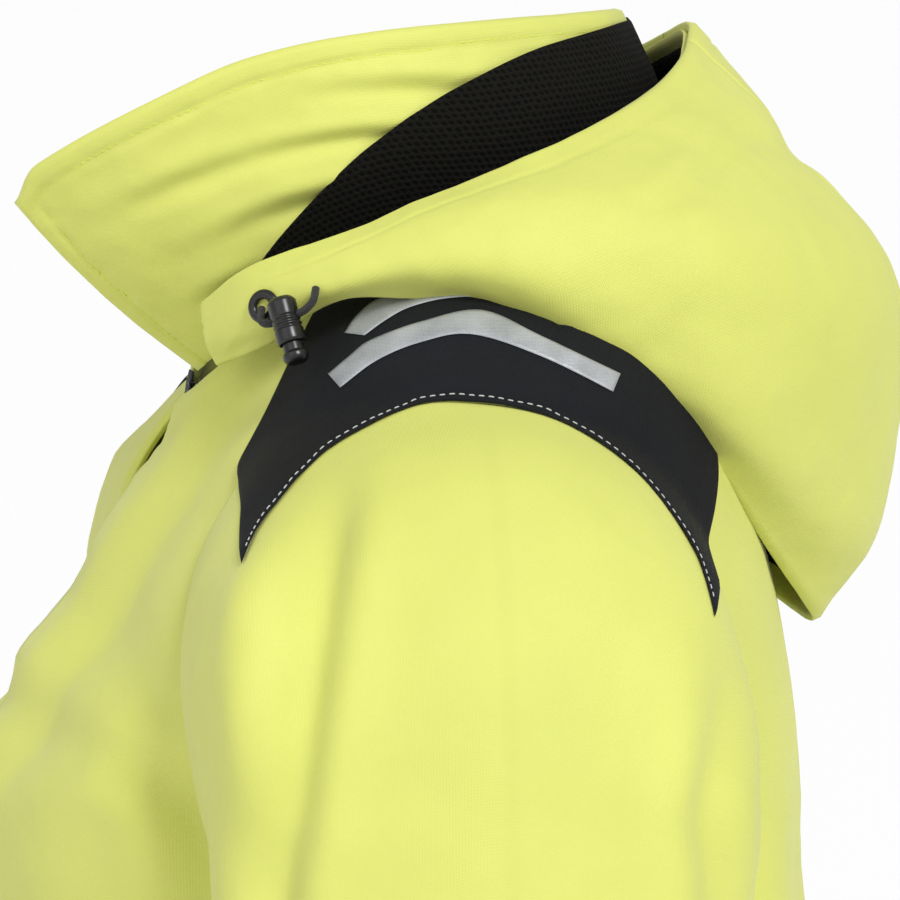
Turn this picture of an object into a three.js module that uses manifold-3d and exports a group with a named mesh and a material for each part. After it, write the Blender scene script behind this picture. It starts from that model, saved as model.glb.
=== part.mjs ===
// Hooded foul weather jacket, as it sits on a wearer: hood down, collar open, arms hanging.
// Units are millimetres. +Z is up, the wearer faces -Y and the wearer's left is +X.
// The origin is the middle of the shoulders, inside the neck opening.
import * as THREE from "three";
import { mergeVertices } from "three/addons/utils/BufferGeometryUtils.js";
import Module from "manifold-3d";

const wasm = await Module();
wasm.setup();

// Driving dimensions
const shellWall = 4.5; // outer shell with its wadding
const liningWall = 1.6;
const knitWall = 1.2;
const seamGap = 0.4; // between two pieces that are sewn or lie together
const layerGap = 1.5; // between a shell and the loose layer that lines or backs it
const hemZ = -780;
const frontY = -184; // the straight part of the front
const zipTopZ = -205; // where the slider stands at rest
const zipHalfWidth = 8; // front edge to the middle of the chain
const neckHalfOpening = 20; // how far the front edges stand apart at the neck seam
const sideSeam = 10; // column of the body grid where front and back meet
const closeGap = 0.7; // between a shell and a layer that follows it closely
const cutTolerance = 0.1; // a cut's slivers smaller than this are cleaned away
const armholeCentre = { y: -6, z: -143 };
const armholeRadius = { y: 95, z: 112 };
const tapeThickness = 0.6;

// Body sections from the neck seam (0) to the hem (10):
// half width, front y, back y, and the heights of the front, back and side of each section
const bodySections = [
  [85, -90, 100, -31, 32, 28],
  [125, -93, 110, -53, 14, 16],
  [163, -105, 119, -76, -14, -6],
  [189, -126, 129, -110, -72, -36],
  [201, -155, 140, -154, -125, -84],
  [205, frontY, 151, zipTopZ, -200, -160],
  [203, frontY, 160, -290, -290, -290],
  [199, frontY, 160, -400, -400, -400],
  [197, frontY, 154, -520, -520, -520],
  [200, frontY, 150, -650, -650, -650],
  [206, frontY, 154, hemZ, hemZ, hemZ],
];

// Sleeve sections from the armhole (0) to the wrist (8):
// outer x and z, inner x and z, half depth, y of the middle
const sleeveSections = [
  [172, -22, 200, -260, 101, -6],
  [226, -38, 206, -268, 100, -6],
  [270, -82, 209, -276, 98, -7],
  [295, -150, 211, -290, 94, -8],
  [305, -235, 213, -315, 90, -9],
  [311, -350, 218, -380, 86, -10],
  [317, -470, 223, -470, 80, -14],
  [320, -575, 231, -575, 70, -26],
  [321, -680, 239, -680, 60, -42],
];
const elbow = 6;
const wrist = 8;

// Collar stations from the nape to the front edge: angle on the neck seam, then the rim's point
const collarStations = [
  [180, 0, 80, 114],
  [150, 48, 67, 115],
  [122, 80, 34, 114],
  [98, 96, -10, 111],
  [80, 98, -42, 107],
  [62, 95, -76, 99],
  [45, 87, -113, 82],
  [29, 70, -144, 64],
  [14, 50, -167, 47],
];

// Hood stations from the throat to the middle of the back, each from the rim to the lower edge
const hoodStations = [
  [[74, -97, 5], [80, -98, -2], [84, -97, -11], [84, -92, -22]],
  [[98, -75, 22], [109, -76, 12], [114, -74, -2], [110, -68, -14]],
  [[114, -45, 34], [127, -46, 26], [132, -44, 14], [126, -40, 2]],
  [[120, -10, 49], [138, -8, 40], [146, -5, 25], [134, -2, 8]],
  [[118, 25, 63], [143, 32, 45], [154, 38, 18], [145, 40, -6]],
  [[99, 62, 78], [135, 80, 46], [149, 88, -5], [138, 85, -42]],
  [[68, 88, 90], [100, 122, 46], [116, 138, -30], [96, 125, -92]],
  [[30, 105, 103], [48, 150, 46], [59, 178, -38], [48, 150, -124]],
  [[0, 110, 109], [0, 156, 43], [0, 187, -42], [0, 155, -129]],
];

const material = {
  shell: new THREE.MeshStandardMaterial({ color: 0xe3ee5a, roughness: 0.62 }),
  navy: new THREE.MeshStandardMaterial({ color: 0x24262d, roughness: 0.6 }),
  knit: new THREE.MeshStandardMaterial({ color: 0x15140f, roughness: 0.95 }),
  lining: new THREE.MeshStandardMaterial({ color: 0x2a2d34, roughness: 0.8 }),
  reflective: new THREE.MeshStandardMaterial({ color: 0xbfc2c2, roughness: 0.35, metalness: 0.4 }),
  plastic: new THREE.MeshStandardMaterial({ color: 0x121212, roughness: 0.35 }),
  metal: new THREE.MeshStandardMaterial({ color: 0x3a3836, roughness: 0.35, metalness: 0.9 }),
  cord: new THREE.MeshStandardMaterial({ color: 0x1b1a1d, roughness: 0.85 }),
  webbing: new THREE.MeshStandardMaterial({ color: 0x1c1d22, roughness: 0.9 }),
};

const jacket = new THREE.Group();

// ---------- helpers ----------

// Smooth value of a table of equal rows, at a row number that may be a fraction.
// It never swings past the rows on either side.
function rowAt(table, position) {
  const last = table.length - 1;
  const i = Math.max(0, Math.min(Math.floor(position), last - 1));
  const t = position - i;
  const slope = (k, c) => {
    const before = table[Math.max(1, k)][c] - table[Math.max(1, k) - 1][c];
    const after = table[Math.min(last, k + 1)][c] - table[Math.min(last, k + 1) - 1][c];
    return before * after <= 0 ? 0 : (2 * before * after) / (before + after);
  };
  return table[i].map((_, c) => {
    const [p, q] = [table[i][c], table[i + 1][c]];
    const ease = t * t * (3 - 2 * t);
    const leaving = slope(i, c) * t * (1 - t) * (1 - t);
    const arriving = slope(i + 1, c) * t * t * (1 - t);
    return p + (q - p) * ease + leaving - arriving;
  });
}

const degrees = (angle) => (angle * Math.PI) / 180;
const blunt = (value, power) => Math.sign(value) * Math.abs(value) ** power;
const steps = (from, to, count) =>
  Array.from({ length: count + 1 }, (_, i) => from + ((to - from) * i) / count);

// Outward normal of a surface given as a function of two numbers.
function normalOf(surface, u, v) {
  const e = 1e-3;
  const du = surface(u + e, v).sub(surface(u - e, v));
  const dv = surface(u, v + e).sub(surface(u, v - e));
  return du.cross(dv).normalize();
}

// A closed shell over a grid of a surface, between two offsets along its normal.
// Each free edge is drawn in by half of the seam gap.
function shellGeometry(surface, us, vs, outer, inner, { round = false, trim = seamGap / 2 } = {}) {
  const layer = (offset) =>
    us.map((u) => vs.map((v) => surface(u, v).addScaledVector(normalOf(surface, u, v), offset)));
  const layers = [layer(outer), layer(inner)];
  const draw = (point, towards) =>
    point.addScaledVector(towards.clone().sub(point).normalize(), trim);
  for (const grid of layers) {
    const [m, n] = [us.length - 1, vs.length - 1];
    if (!round)
      vs.forEach((_, j) => {
        draw(grid[0][j], grid[1][j]);
        draw(grid[m][j], grid[m - 1][j]);
      });
    us.forEach((_, i) => {
      draw(grid[i][0], grid[i][1]);
      draw(grid[i][n], grid[i][n - 1]);
    });
  }
  const columns = us.length;
  const rows = vs.length;
  const positions = layers.flat(2).flatMap((p) => [p.x, p.y, p.z]);
  const at = (side, i, j) => side * columns * rows + (i % columns) * rows + j;
  const faces = [];
  const quad = (a, b, c, d) => faces.push(a, b, c, a, c, d);
  const around = round ? columns : columns - 1;
  for (let i = 0; i < around; i++) {
    for (let j = 0; j < rows - 1; j++) {
      quad(at(0, i, j), at(0, i + 1, j), at(0, i + 1, j + 1), at(0, i, j + 1));
      quad(at(1, i, j), at(1, i, j + 1), at(1, i + 1, j + 1), at(1, i + 1, j));
    }
    quad(at(0, i, 0), at(1, i, 0), at(1, i + 1, 0), at(0, i + 1, 0));
    quad(at(0, i, rows - 1), at(0, i + 1, rows - 1), at(1, i + 1, rows - 1), at(1, i, rows - 1));
  }
  if (!round)
    for (let j = 0; j < rows - 1; j++) {
      quad(at(0, 0, j), at(0, 0, j + 1), at(1, 0, j + 1), at(1, 0, j));
      const m = columns - 1;
      quad(at(0, m, j), at(1, m, j), at(1, m, j + 1), at(0, m, j + 1));
    }
  const geometry = new THREE.BufferGeometry();
  geometry.setAttribute("position", new THREE.Float32BufferAttribute(positions, 3));
  geometry.setIndex(faces);
  return geometry;
}

// manifold-3d solid of a geometry, and a geometry of a solid
function solid(geometry) {
  const bare = geometry.index ? geometry.toNonIndexed() : geometry.clone();
  bare.deleteAttribute("normal");
  bare.deleteAttribute("uv");
  const merged = mergeVertices(bare, 1e-3);
  const made = new wasm.Manifold(
    new wasm.Mesh({
      numProp: 3,
      vertProperties: merged.attributes.position.array,
      triVerts: new Uint32Array(merged.index.array),
    }),
  );
  return made;
}

// The largest piece of a solid, as a geometry: a cut can leave crumbs behind.
function geometryOf(made) {
  const pieces = made.decompose();
  const largest = pieces.reduce((a, b) => (b.volume() > a.volume() ? b : a));
  const mesh = largest.simplify(cutTolerance).getMesh();
  const geometry = new THREE.BufferGeometry();
  geometry.setAttribute("position", new THREE.BufferAttribute(mesh.vertProperties, 3));
  geometry.setIndex(new THREE.BufferAttribute(mesh.triVerts, 1));
  return geometry;
}

function mirrored(geometry) {
  const copy = geometry.clone().scale(-1, 1, 1);
  const index = copy.index.array;
  for (let i = 0; i < index.length; i += 3) [index[i], index[i + 1]] = [index[i + 1], index[i]];
  return copy;
}

function place(name, geometry, finish, position) {
  const mesh = new THREE.Mesh(geometry, finish);
  mesh.name = name;
  if (position) mesh.position.copy(position);
  jacket.add(mesh);
  return mesh;
}

// The same piece on both sides of the wearer
function placePair(name, geometry, finish) {
  place(`${name}_left`, geometry, finish);
  place(`${name}_right`, mirrored(geometry), finish);
}

// A prism along X over an outline in the YZ plane
function prism(outline, fromX, toX) {
  const shape = new THREE.Shape(outline.map(([y, z]) => new THREE.Vector2(y, z)));
  const geometry = new THREE.ExtrudeGeometry(shape, { depth: toX - fromX, bevelEnabled: false });
  const turn = new THREE.Matrix4().makeBasis(
    new THREE.Vector3(0, 1, 0),
    new THREE.Vector3(0, 0, 1),
    new THREE.Vector3(1, 0, 0),
  );
  return solid(geometry.applyMatrix4(turn).translate(fromX, 0, 0));
}

function smoothOutline(points, count, closed = false) {
  const curve = new THREE.CatmullRomCurve3(
    points.map(([y, z]) => new THREE.Vector3(y, z, 0)),
    closed,
    "centripetal",
  );
  return curve.getPoints(count).map((p) => [p.x, p.y]);
}

function ellipse({ y, z }, radius, grow = 0, count = 32) {
  return steps(0, 2 * Math.PI, count)
    .slice(0, count)
    .map((a) => [y + (radius.y + grow) * Math.cos(a), z + (radius.z + grow) * Math.sin(a)]);
}

// ---------- the body's surface ----------

// Distance of the front edge from the middle: it opens in a narrow V above the slider.
function frontEdgeX(section) {
  const share = Math.max(0, 1 - section / 5);
  return zipHalfWidth + (neckHalfOpening - zipHalfWidth) * share;
}

function bodySurface(angle, section) {
  const [half, front, back, zFront, zBack, zSide] = rowAt(bodySections, section);
  const [s, c] = [Math.sin(angle), Math.cos(angle)];
  const middle = (front + back) / 2;
  const depth = (back - front) / 2;
  return new THREE.Vector3(
    half * blunt(s, 0.85),
    middle - depth * blunt(c, 0.92),
    zSide * s * s + (c > 0 ? zFront : zBack) * c * c,
  );
}

// Body grid: columns 0 to 16 run from the left front edge to the middle of the back, and on to 32.
// The section comes first, so that the surface's normal points out.
function bodyGrid(section, column) {
  const mirror = column > 16;
  const u = mirror ? 32 - column : column;
  const half = rowAt(bodySections, section)[0];
  const edge = Math.asin((frontEdgeX(section) / half) ** (1 / 0.85));
  const firstColumn = degrees(12);
  let angle = edge + (firstColumn - edge) * u;
  if (u > 1) angle = degrees(12 + (u - 1) * 10);
  if (u > sideSeam) angle = degrees(102 + (u - sideSeam) * 13);
  const point = bodySurface(angle, section);
  if (mirror) point.x = -point.x;
  return point;
}

const whole = (from, to) => steps(from, to, to - from);
const bodyRows = [0, 0.5, 1, 1.5, 2, 2.5, 3, 3.5, 4, 4.5, 5, 6, 7, 8, 9, 10];
const upperRows = bodyRows.filter((row) => row <= 5);

// A filled body, grown by a clearance, that other pieces are cut back from
function bodyBlock(clearance) {
  const columns = steps(0, 32, 32);
  const inRange = (column) => Math.min(31.9, Math.max(0.1, column));
  const grown = (row, column) =>
    bodyGrid(row, column).addScaledVector(normalOf(bodyGrid, row, inRange(column)), clearance);
  const rings = bodyRows.map((row) => columns.map((column) => grown(row, column)));
  const middle = (points) =>
    points.reduce((sum, p) => sum.add(p), new THREE.Vector3()).divideScalar(points.length);
  const last = (bodyRows.length - 1) * columns.length;
  const points = [...rings.flat(), middle(rings[0]), middle(rings.at(-1))];
  const [top, bottom] = [points.length - 2, points.length - 1];
  const faces = [];
  columns.forEach((_, i) => {
    const k = (i + 1) % columns.length;
    for (let row = 0; row < last; row += columns.length) {
      const below = row + columns.length;
      faces.push(row + i, below + k, row + k, row + i, below + i, below + k);
    }
    faces.push(top, i, k, bottom, last + k, last + i);
  });
  const geometry = new THREE.BufferGeometry();
  const positions = points.flatMap((p) => [p.x, p.y, p.z]);
  geometry.setAttribute("position", new THREE.Float32BufferAttribute(positions, 3));
  geometry.setIndex(faces);
  return solid(geometry);
}

const armholeCut = (grow) => {
  const left = prism(ellipse(armholeCentre, armholeRadius, grow), 120, 340);
  return left.add(left.mirror([1, 0, 0]));
};

// Outline of the shoulder yoke from the side: its front edge, over the neck, and its back edge
const yokeFront = [[-97, -86], [-90, -58], [-78, -33], [-63, -12], [-46, 10], [-36, 60]];
const yokeBack = [[44, 60], [62, 22], [82, -8], [94, -38], [94, -60], [91, -84], [90, -108]];
function yokeOutline(inset) {
  const front = smoothOutline(yokeFront, 14).map(([y, z]) => [y + inset, z]);
  const back = smoothOutline(yokeBack, 14).map(([y, z]) => [y - inset, z]);
  return [...front, ...back, [armholeCentre.y, -120]];
}
const yokeSpan = [40, 260];

function makeBody() {
  const armholes = armholeCut(0);
  const yokeLeft = prism(yokeOutline(0), ...yokeSpan);
  const yokes = yokeLeft.add(yokeLeft.mirror([1, 0, 0]));
  const cut = (us) => {
    const panel = solid(shellGeometry(bodyGrid, bodyRows, us, 0, -shellWall));
    return geometryOf(panel.subtract(armholes).subtract(yokes));
  };
  const front = cut(whole(0, sideSeam));
  place("front_panel_left", front, material.shell);
  place("front_panel_right", mirrored(front), material.shell);
  place("back_panel", cut(whole(sideSeam, 32 - sideSeam)), material.shell);

  const shoulder = solid(shellGeometry(bodyGrid, upperRows, whole(3, 16), 0, -shellWall));
  const yoke = shoulder.subtract(armholes).intersect(prism(yokeOutline(seamGap), ...yokeSpan));
  placePair("shoulder_yoke", geometryOf(yoke), material.navy);

  const half = [0, 1, 2, 4, 6, 8, 10, 12, 14];
  const columns = [...half, 16, ...half.map((column) => 32 - column).reverse()];
  const liningRows = [0.5, 1, 1.5, 2, 2.5, 3, 4, 5, 6, 7, 8, 9, 10];
  const liningOuter = -shellWall - closeGap;
  const lining = solid(
    shellGeometry(bodyGrid, liningRows, columns, liningOuter, liningOuter - liningWall),
  );
  place("body_lining", geometryOf(lining.subtract(armholes)), material.lining);
}

// Reflective strips that lie on the yoke, each an outline from the side
const stripOutlines = {
  long_strip: [
    [[-50, -13], [-44, -4], [-25, 7], [-7, 11], [12, 9], [34, 1], [56, -16]],
    [[48, -23], [28, -8], [12, -2], [-7, -1], [-25, -4], [-42, -17]],
  ],
  short_strip: [
    [[-41, 3], [-31, 11], [-18, 16], [-4, 18], [12, 18]],
    [[12, 14], [-4, 14], [-18, 11], [-31, 5], [-39, 0]],
  ],
};

function makeReflectiveStrips() {
  const skin = solid(
    shellGeometry(bodyGrid, upperRows, whole(3, 16), seamGap + tapeThickness, seamGap, { trim: 0 }),
  );
  for (const [name, [upper, lower]] of Object.entries(stripOutlines)) {
    const outline = [...smoothOutline(upper, 10), ...smoothOutline(lower, 10)];
    const strip = geometryOf(skin.intersect(prism(outline, 60, 230)));
    placePair(`reflective_${name}`, strip, material.reflective);
  }
}

// ---------- sleeves ----------

function sleeveSurface(turn, section) {
  const [outX, outZ, inX, inZ, depth, middleY] = rowAt(sleeveSections, section);
  const angle = degrees(turn);
  const along = blunt(Math.cos(angle), 0.9) / 2;
  return new THREE.Vector3(
    (outX + inX) / 2 + (outX - inX) * along,
    middleY - depth * blunt(Math.sin(angle), 0.95),
    (outZ + inZ) / 2 + (outZ - inZ) * along,
  );
}

const ring = (count) => steps(0, 360, count).slice(0, count);

function makeSleeves(block) {
  const tube = (from, to, count, around, outer, inner) =>
    shellGeometry(sleeveSurface, ring(around), steps(from, to, count), outer, inner, { round: true });
  const upper = solid(tube(0, elbow, 10, 24, 0, -shellWall));
  placePair("upper_sleeve", geometryOf(upper.subtract(block)), material.shell);
  placePair("forearm_sleeve", tube(elbow, wrist, 4, 24, 0, -shellWall), material.shell);
  placePair("cuff_binding", tube(wrist - 0.22, wrist, 2, 24, seamGap + 1.4, seamGap), material.navy);
  const cuffTop = 7.1;
  const cuffWall = 2;
  const cuffOuter = -shellWall - closeGap;
  const wristCuff = (turn, v) => {
    const t = Math.max(0, Math.min(1, (v - cuffTop) / (wrist - cuffTop)));
    const point = sleeveSurface(turn, v);
    const [outX, outZ, inX, , , middleY] = rowAt(sleeveSections, v);
    const axis = new THREE.Vector3((outX + inX) / 2, middleY, outZ);
    const squeeze = 1 - 0.36 * t * t * (3 - 2 * t);
    return axis.addScaledVector(point.sub(axis), squeeze);
  };
  placePair(
    "storm_cuff",
    shellGeometry(wristCuff, ring(20), steps(cuffTop, wrist, 4), cuffOuter, cuffOuter - cuffWall, {
      round: true,
    }),
    material.knit,
  );
  // The tab lies round the outside of the cuff and is sewn down at its back end.
  const tabRows = steps(7.42, 7.68, 2);
  placePair(
    "cuff_tab",
    shellGeometry(sleeveSurface, steps(-75, 30, 7), tabRows, closeGap + 2.2, closeGap),
    material.navy,
  );
}

// ---------- collar ----------

function neckPoint(angleDegrees, out = 0) {
  const angle = degrees(angleDegrees);
  const [half, front, back, zFront, zBack, zSide] = bodySections[0];
  const [s, c] = [Math.sin(angle), Math.cos(angle)];
  const depth = (back - front) / 2;
  return new THREE.Vector3(
    (half + out) * blunt(s, 0.85),
    (front + back) / 2 - (depth + out) * blunt(c, 0.92),
    zSide * s * s + (c > 0 ? zFront : zBack) * c * c,
  );
}

// The stations with one more past the nape, on the other side, so that the collar is smooth there
const [, beside] = collarStations;
const collarTable = [[360 - beside[0], -beside[1], beside[2], beside[3]], ...collarStations];
const rightDrop = 17; // the right half lies this much lower at its rim, as worn open
const collarLift = 0.8; // the collar's lower edge stands this far above the neck seam
const collarBulge = 6;

// station 0 is the nape and 8 the left front edge; a minus sign is the wearer's right
function collarSurface(station, height) {
  const side = station < 0 ? -1 : 1;
  const at = Math.min(8, Math.abs(station));
  const [angle, x, y, z] = rowAt(collarTable, at + 1);
  const foot = neckPoint(angle);
  foot.z += collarLift;
  const rim = new THREE.Vector3(x, y, z);
  const point = foot.clone().lerp(rim, height);
  const outward = new THREE.Vector3(foot.x, foot.y, 0).normalize();
  point.addScaledVector(outward, collarBulge * Math.sin(Math.PI * height));
  const dropped = side < 0 ? Math.min(1, at / 3) : 0;
  point.z -= rightDrop * dropped * height;
  point.x *= side;
  return point;
}

// How high the hood's knit lining reaches up the outside of the collar
function hoodSeamHeight(station) {
  const at = Math.abs(station);
  return rowAt([[0.94], [0.92], [0.86], [0.7], [0.5], [0.3], [0.16]], Math.min(at, 6))[0];
}

function makeCollar() {
  const us = steps(-8, 8, 24);
  const vs = steps(0, 1, 4);
  const reversed = (station, height) => collarSurface(-station, height);
  place("collar_shell", shellGeometry(reversed, us, vs, 0, -shellWall), material.shell);
  const liningTop = 0.97;
  const liningOuter = -shellWall - seamGap;
  place(
    "collar_lining",
    shellGeometry(reversed, us, steps(0.02, liningTop, 4), liningOuter, liningOuter - 3),
    material.knit,
  );
  const knit = (station, share) => {
    const height = 0.03 + (hoodSeamHeight(station) - 0.03) * share;
    return collarSurface(-station, height);
  };
  place(
    "hood_neck_knit",
    shellGeometry(knit, steps(-6, 6, 18), steps(0, 1, 3), layerGap + knitWall, layerGap),
    material.knit,
  );
}

// ---------- hood ----------

// The stations as flat rows, with one more past the middle, on the other side
const acrossMiddle = hoodStations.at(-2).map(([x, y, z]) => [-x, y, z]);
const hoodTable = [...hoodStations, acrossMiddle].map((points) => points.flat());

function hoodSurface(station, share) {
  const side = station < 8 ? -1 : 1;
  const at = Math.max(0, side < 0 ? station : 16 - station);
  const row = rowAt(hoodTable, at);
  const points = [0, 1, 2, 3].map((i) => row.slice(i * 3, i * 3 + 3));
  const [x, y, z] = rowAt(points, share * 3);
  return new THREE.Vector3(side * x, y, z);
}

const hoodRows = [0, 0.13, 0.26, 0.4, 0.55, 0.7, 0.85, 1];
const brimSpan = { from: 5.5, rows: 3 };
const hoodSeam = 7; // station where the side panel meets the centre panel

function makeHood(block) {
  const clear = (geometry) => geometryOf(solid(geometry).subtract(block));
  const side = solid(shellGeometry(hoodSurface, steps(16 - hoodSeam, 16, 14), hoodRows, 0, -shellWall));
  const brimStations = steps(15.5 - hoodSeam, 16 - brimSpan.from, 4);
  const brimRows = hoodRows.slice(0, brimSpan.rows);
  const brimCut = solid(
    shellGeometry(hoodSurface, brimStations, [-0.12, ...brimRows], 12, -16, { trim: 0 }),
  );
  placePair("hood_side", geometryOf(side.subtract(block).subtract(brimCut)), material.shell);
  const centreStations = steps(hoodSeam, 16 - hoodSeam, 4);
  place(
    "hood_centre",
    shellGeometry(hoodSurface, centreStations, hoodRows.slice(brimSpan.rows - 1), 0, -shellWall),
    material.shell,
  );
  const brimSpread = steps(brimSpan.from, 16 - brimSpan.from, 10);
  place(
    "hood_brim",
    shellGeometry(hoodSurface, brimSpread, brimRows, 0, -shellWall, { trim: 0.6 }),
    material.shell,
  );
  const lining = shellGeometry(
    hoodSurface,
    steps(0.5, 15.5, 30),
    [0.03, ...hoodRows.slice(1, -1), 0.96],
    -shellWall - layerGap,
    -shellWall - layerGap - knitWall,
  );
  place("hood_lining", clear(lining), material.knit);
}

// ---------- front zip ----------

const tape = { inset: 1, thickness: 2.4, inner: 1.5 };
const sliderPlate = { width: 11, thickness: 1.6, height: 17 };
const sliderBridge = { width: 1.8, height: 4 };
const zipBox = { width: 2 * (zipHalfWidth - 2 * seamGap), depth: 4.6, height: 10 };
const runningGap = 0.4; // between two hard pieces that move on each other
const pin = { radius: 0.9, rise: 3 };
const pullerSize = { width: 6, thickness: 1.8, length: 34, eye: 2.5, window: 3 };

function box(width, depth, height, x, y, z) {
  return solid(new THREE.BoxGeometry(width, depth, height).translate(x, y, z));
}

function rodX(radius, length, y, z, sides = 16) {
  const rod = new THREE.CylinderGeometry(radius, radius, length, sides);
  return solid(rod.rotateZ(Math.PI / 2).translate(0, y, z));
}

function makeZip() {
  const lastRow = 9.86;
  const rows = [...bodyRows.slice(0, -1), lastRow];
  const tapeSurface = (section, share) => {
    const point = bodyGrid(section, 0);
    const outerX = frontEdgeX(section) - seamGap;
    const innerX = frontEdgeX(section) - zipHalfWidth + tape.inner;
    point.x = innerX + (outerX - innerX) * share;
    return point;
  };
  const tapeShell = shellGeometry(tapeSurface, rows, [0, 1], -tape.inset, -tape.inset - tape.thickness, {
    trim: 0,
  });
  placePair("zip_tape", tapeShell, material.webbing);

  const tapeFront = frontY + tape.inset;
  const tapeBack = tapeFront + tape.thickness;
  const frontPlateY = tapeFront - runningGap - sliderPlate.thickness / 2;
  const backPlateY = tapeBack + runningGap + sliderPlate.thickness / 2;
  const sliderZ = zipTopZ - sliderPlate.height / 2 - 1;
  const plate = (y) => box(sliderPlate.width, sliderPlate.thickness, sliderPlate.height, 0, y, sliderZ);
  const bridgeZ = sliderZ + sliderPlate.height / 2 - sliderBridge.height / 2;
  const bridge = box(
    sliderBridge.width,
    backPlateY - frontPlateY,
    sliderBridge.height,
    0,
    (frontPlateY + backPlateY) / 2,
    bridgeZ,
  );
  const pinY = frontPlateY - sliderPlate.thickness / 2 - pin.rise;
  const pinZ = sliderZ + 3;
  const earX = pullerSize.width / 2 + runningGap + 0.6;
  const ear = (x) => box(1.2, pin.rise + 1.8, 3.6, x, pinY + pin.rise / 2 + 0.1, pinZ);
  const slider = plate(frontPlateY).add(plate(backPlateY)).add(bridge);
  const bail = ear(earX).add(ear(-earX)).add(rodX(pin.radius, 2 * earX, pinY, pinZ));
  place("zip_slider", geometryOf(slider.add(bail)), material.metal);

  const eye = rodX(pullerSize.eye, pullerSize.width, pinY, pinZ, 20);
  const blade = box(
    pullerSize.width,
    pullerSize.thickness,
    pullerSize.length,
    0,
    pinY,
    pinZ - pullerSize.length / 2,
  );
  const hole = rodX(pin.radius + runningGap, pullerSize.width + 2, pinY, pinZ, 20);
  const windowCut = box(
    pullerSize.window,
    pullerSize.thickness + 2,
    pullerSize.length * 0.4,
    0,
    pinY,
    pinZ - pullerSize.length * 0.68,
  );
  place("zip_puller", geometryOf(eye.add(blade).subtract(hole).subtract(windowCut)), material.plastic);

  const boxTop = rowAt(bodySections, lastRow)[3] - seamGap;
  const boxY = tapeFront + tape.thickness / 2;
  const end = box(zipBox.width, zipBox.depth, zipBox.height, 0, boxY, boxTop - zipBox.height / 2);
  place("zip_box", geometryOf(end), material.plastic);
}

// The body's front at a given distance from the middle
function bodyAtX(section, x) {
  const half = rowAt(bodySections, section)[0];
  const point = bodySurface(Math.asin((Math.abs(x) / half) ** (1 / 0.85)), section);
  point.x = x;
  return point;
}

// A draught strip behind the zip, sewn along the left front
const placket = { past: 22, under: 30, thickness: 3, firstRow: 5 };

function makePlacket() {
  const surface = (section, share) => {
    const edge = frontEdgeX(section);
    const from = edge - zipHalfWidth - placket.past;
    return bodyAtX(section, from + (edge + placket.under - from) * share);
  };
  const top = -shellWall - closeGap - liningWall - layerGap;
  const rows = bodyRows.filter((row) => row >= placket.firstRow);
  place(
    "inner_storm_flap",
    shellGeometry(surface, rows, steps(0, 1, 4), top, top - placket.thickness),
    material.lining,
  );
}

// ---------- pockets ----------

const pocket = { width: 128, height: 175, topZ: -520, depth: 15, wall: 2.2, fromAngle: 16, toAngle: 46 };
const flap = { overhang: 3, rise: 24, drop: 38, thickness: 3, startDepth: 8.2 };

// A frame on the left front: across, outward and up, with its origin at the middle of the pocket's mouth
function pocketFrame() {
  const at = (angle) => bodySurface(degrees(angle), 8);
  const [from, to] = [at(pocket.fromAngle), at(pocket.toAngle)];
  const across = to.clone().sub(from).setZ(0).normalize();
  const outward = new THREE.Vector3(across.y, -across.x, 0);
  const origin = from.clone().add(to).multiplyScalar(0.5);
  origin.z = pocket.topZ;
  const up = new THREE.Vector3(0, 0, 1);
  return new THREE.Matrix4().makeBasis(across, outward.negate(), up).setPosition(origin);
}

function makePockets(block) {
  const matrix = pocketFrame();
  const local = (width, depth, height, x, y, z) =>
    solid(new THREE.BoxGeometry(width, depth, height).translate(x, y, z).applyMatrix4(matrix));
  const back = 24;
  const { width, height, depth, wall } = pocket;
  const outer = local(width, depth + back, height, 0, (back - depth) / 2, -height / 2);
  const hollow = local(
    width - 2 * wall,
    depth + back - wall,
    height,
    0,
    (back - depth) / 2 + wall / 2,
    -height / 2 + wall,
  );
  placePair("pocket", geometryOf(outer.subtract(hollow).subtract(block)), material.shell);

  const { startDepth, rise, drop, thickness } = flap;
  const front = -depth - seamGap;
  const section = new THREE.Shape(
    [
      [-startDepth, rise],
      [front, 2],
      [front, -drop],
      [front - thickness, -drop],
      [front - thickness, 2 + thickness * 0.6],
      [-startDepth, rise + thickness * 1.5],
    ].map(([y, z]) => new THREE.Vector2(y, z)),
  );
  const flapWidth = width + 2 * flap.overhang;
  const profile = new THREE.ExtrudeGeometry(section, { depth: flapWidth, bevelEnabled: false });
  const turn = new THREE.Matrix4().makeBasis(
    new THREE.Vector3(0, 1, 0),
    new THREE.Vector3(0, 0, 1),
    new THREE.Vector3(1, 0, 0),
  );
  const made = solid(profile.applyMatrix4(turn).translate(-flapWidth / 2, 0, 0).applyMatrix4(matrix));
  placePair("pocket_flap", geometryOf(made), material.navy);
}

// ---------- hanger loop ----------

const hanger = { halfWidth: 26, drop: 12, tape: 7, thickness: 1.6 };

function makeHangerLoop() {
  const inset = shellWall + 3 + seamGap + 3;
  const top = collarSurface(0, 0.3);
  const y = top.y - inset;
  const points = steps(0, Math.PI, 8).map((a) => {
    const [along, away] = [Math.cos(a), Math.sin(a)];
    return new THREE.Vector3(-hanger.halfWidth * along, y - 3 - 5 * away, top.z - hanger.drop * away);
  });
  const section = new THREE.Shape();
  const [w, t] = [hanger.tape / 2, hanger.thickness / 2];
  section.moveTo(-t, -w).lineTo(t, -w).lineTo(t, w).lineTo(-t, w).lineTo(-t, -w);
  const path = new THREE.CatmullRomCurve3(points);
  const loop = new THREE.ExtrudeGeometry(section, { steps: 16, bevelEnabled: false, extrudePath: path });
  place("hanger_loop", loop, material.webbing);
}

// ---------- drawcords and their locks ----------

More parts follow.
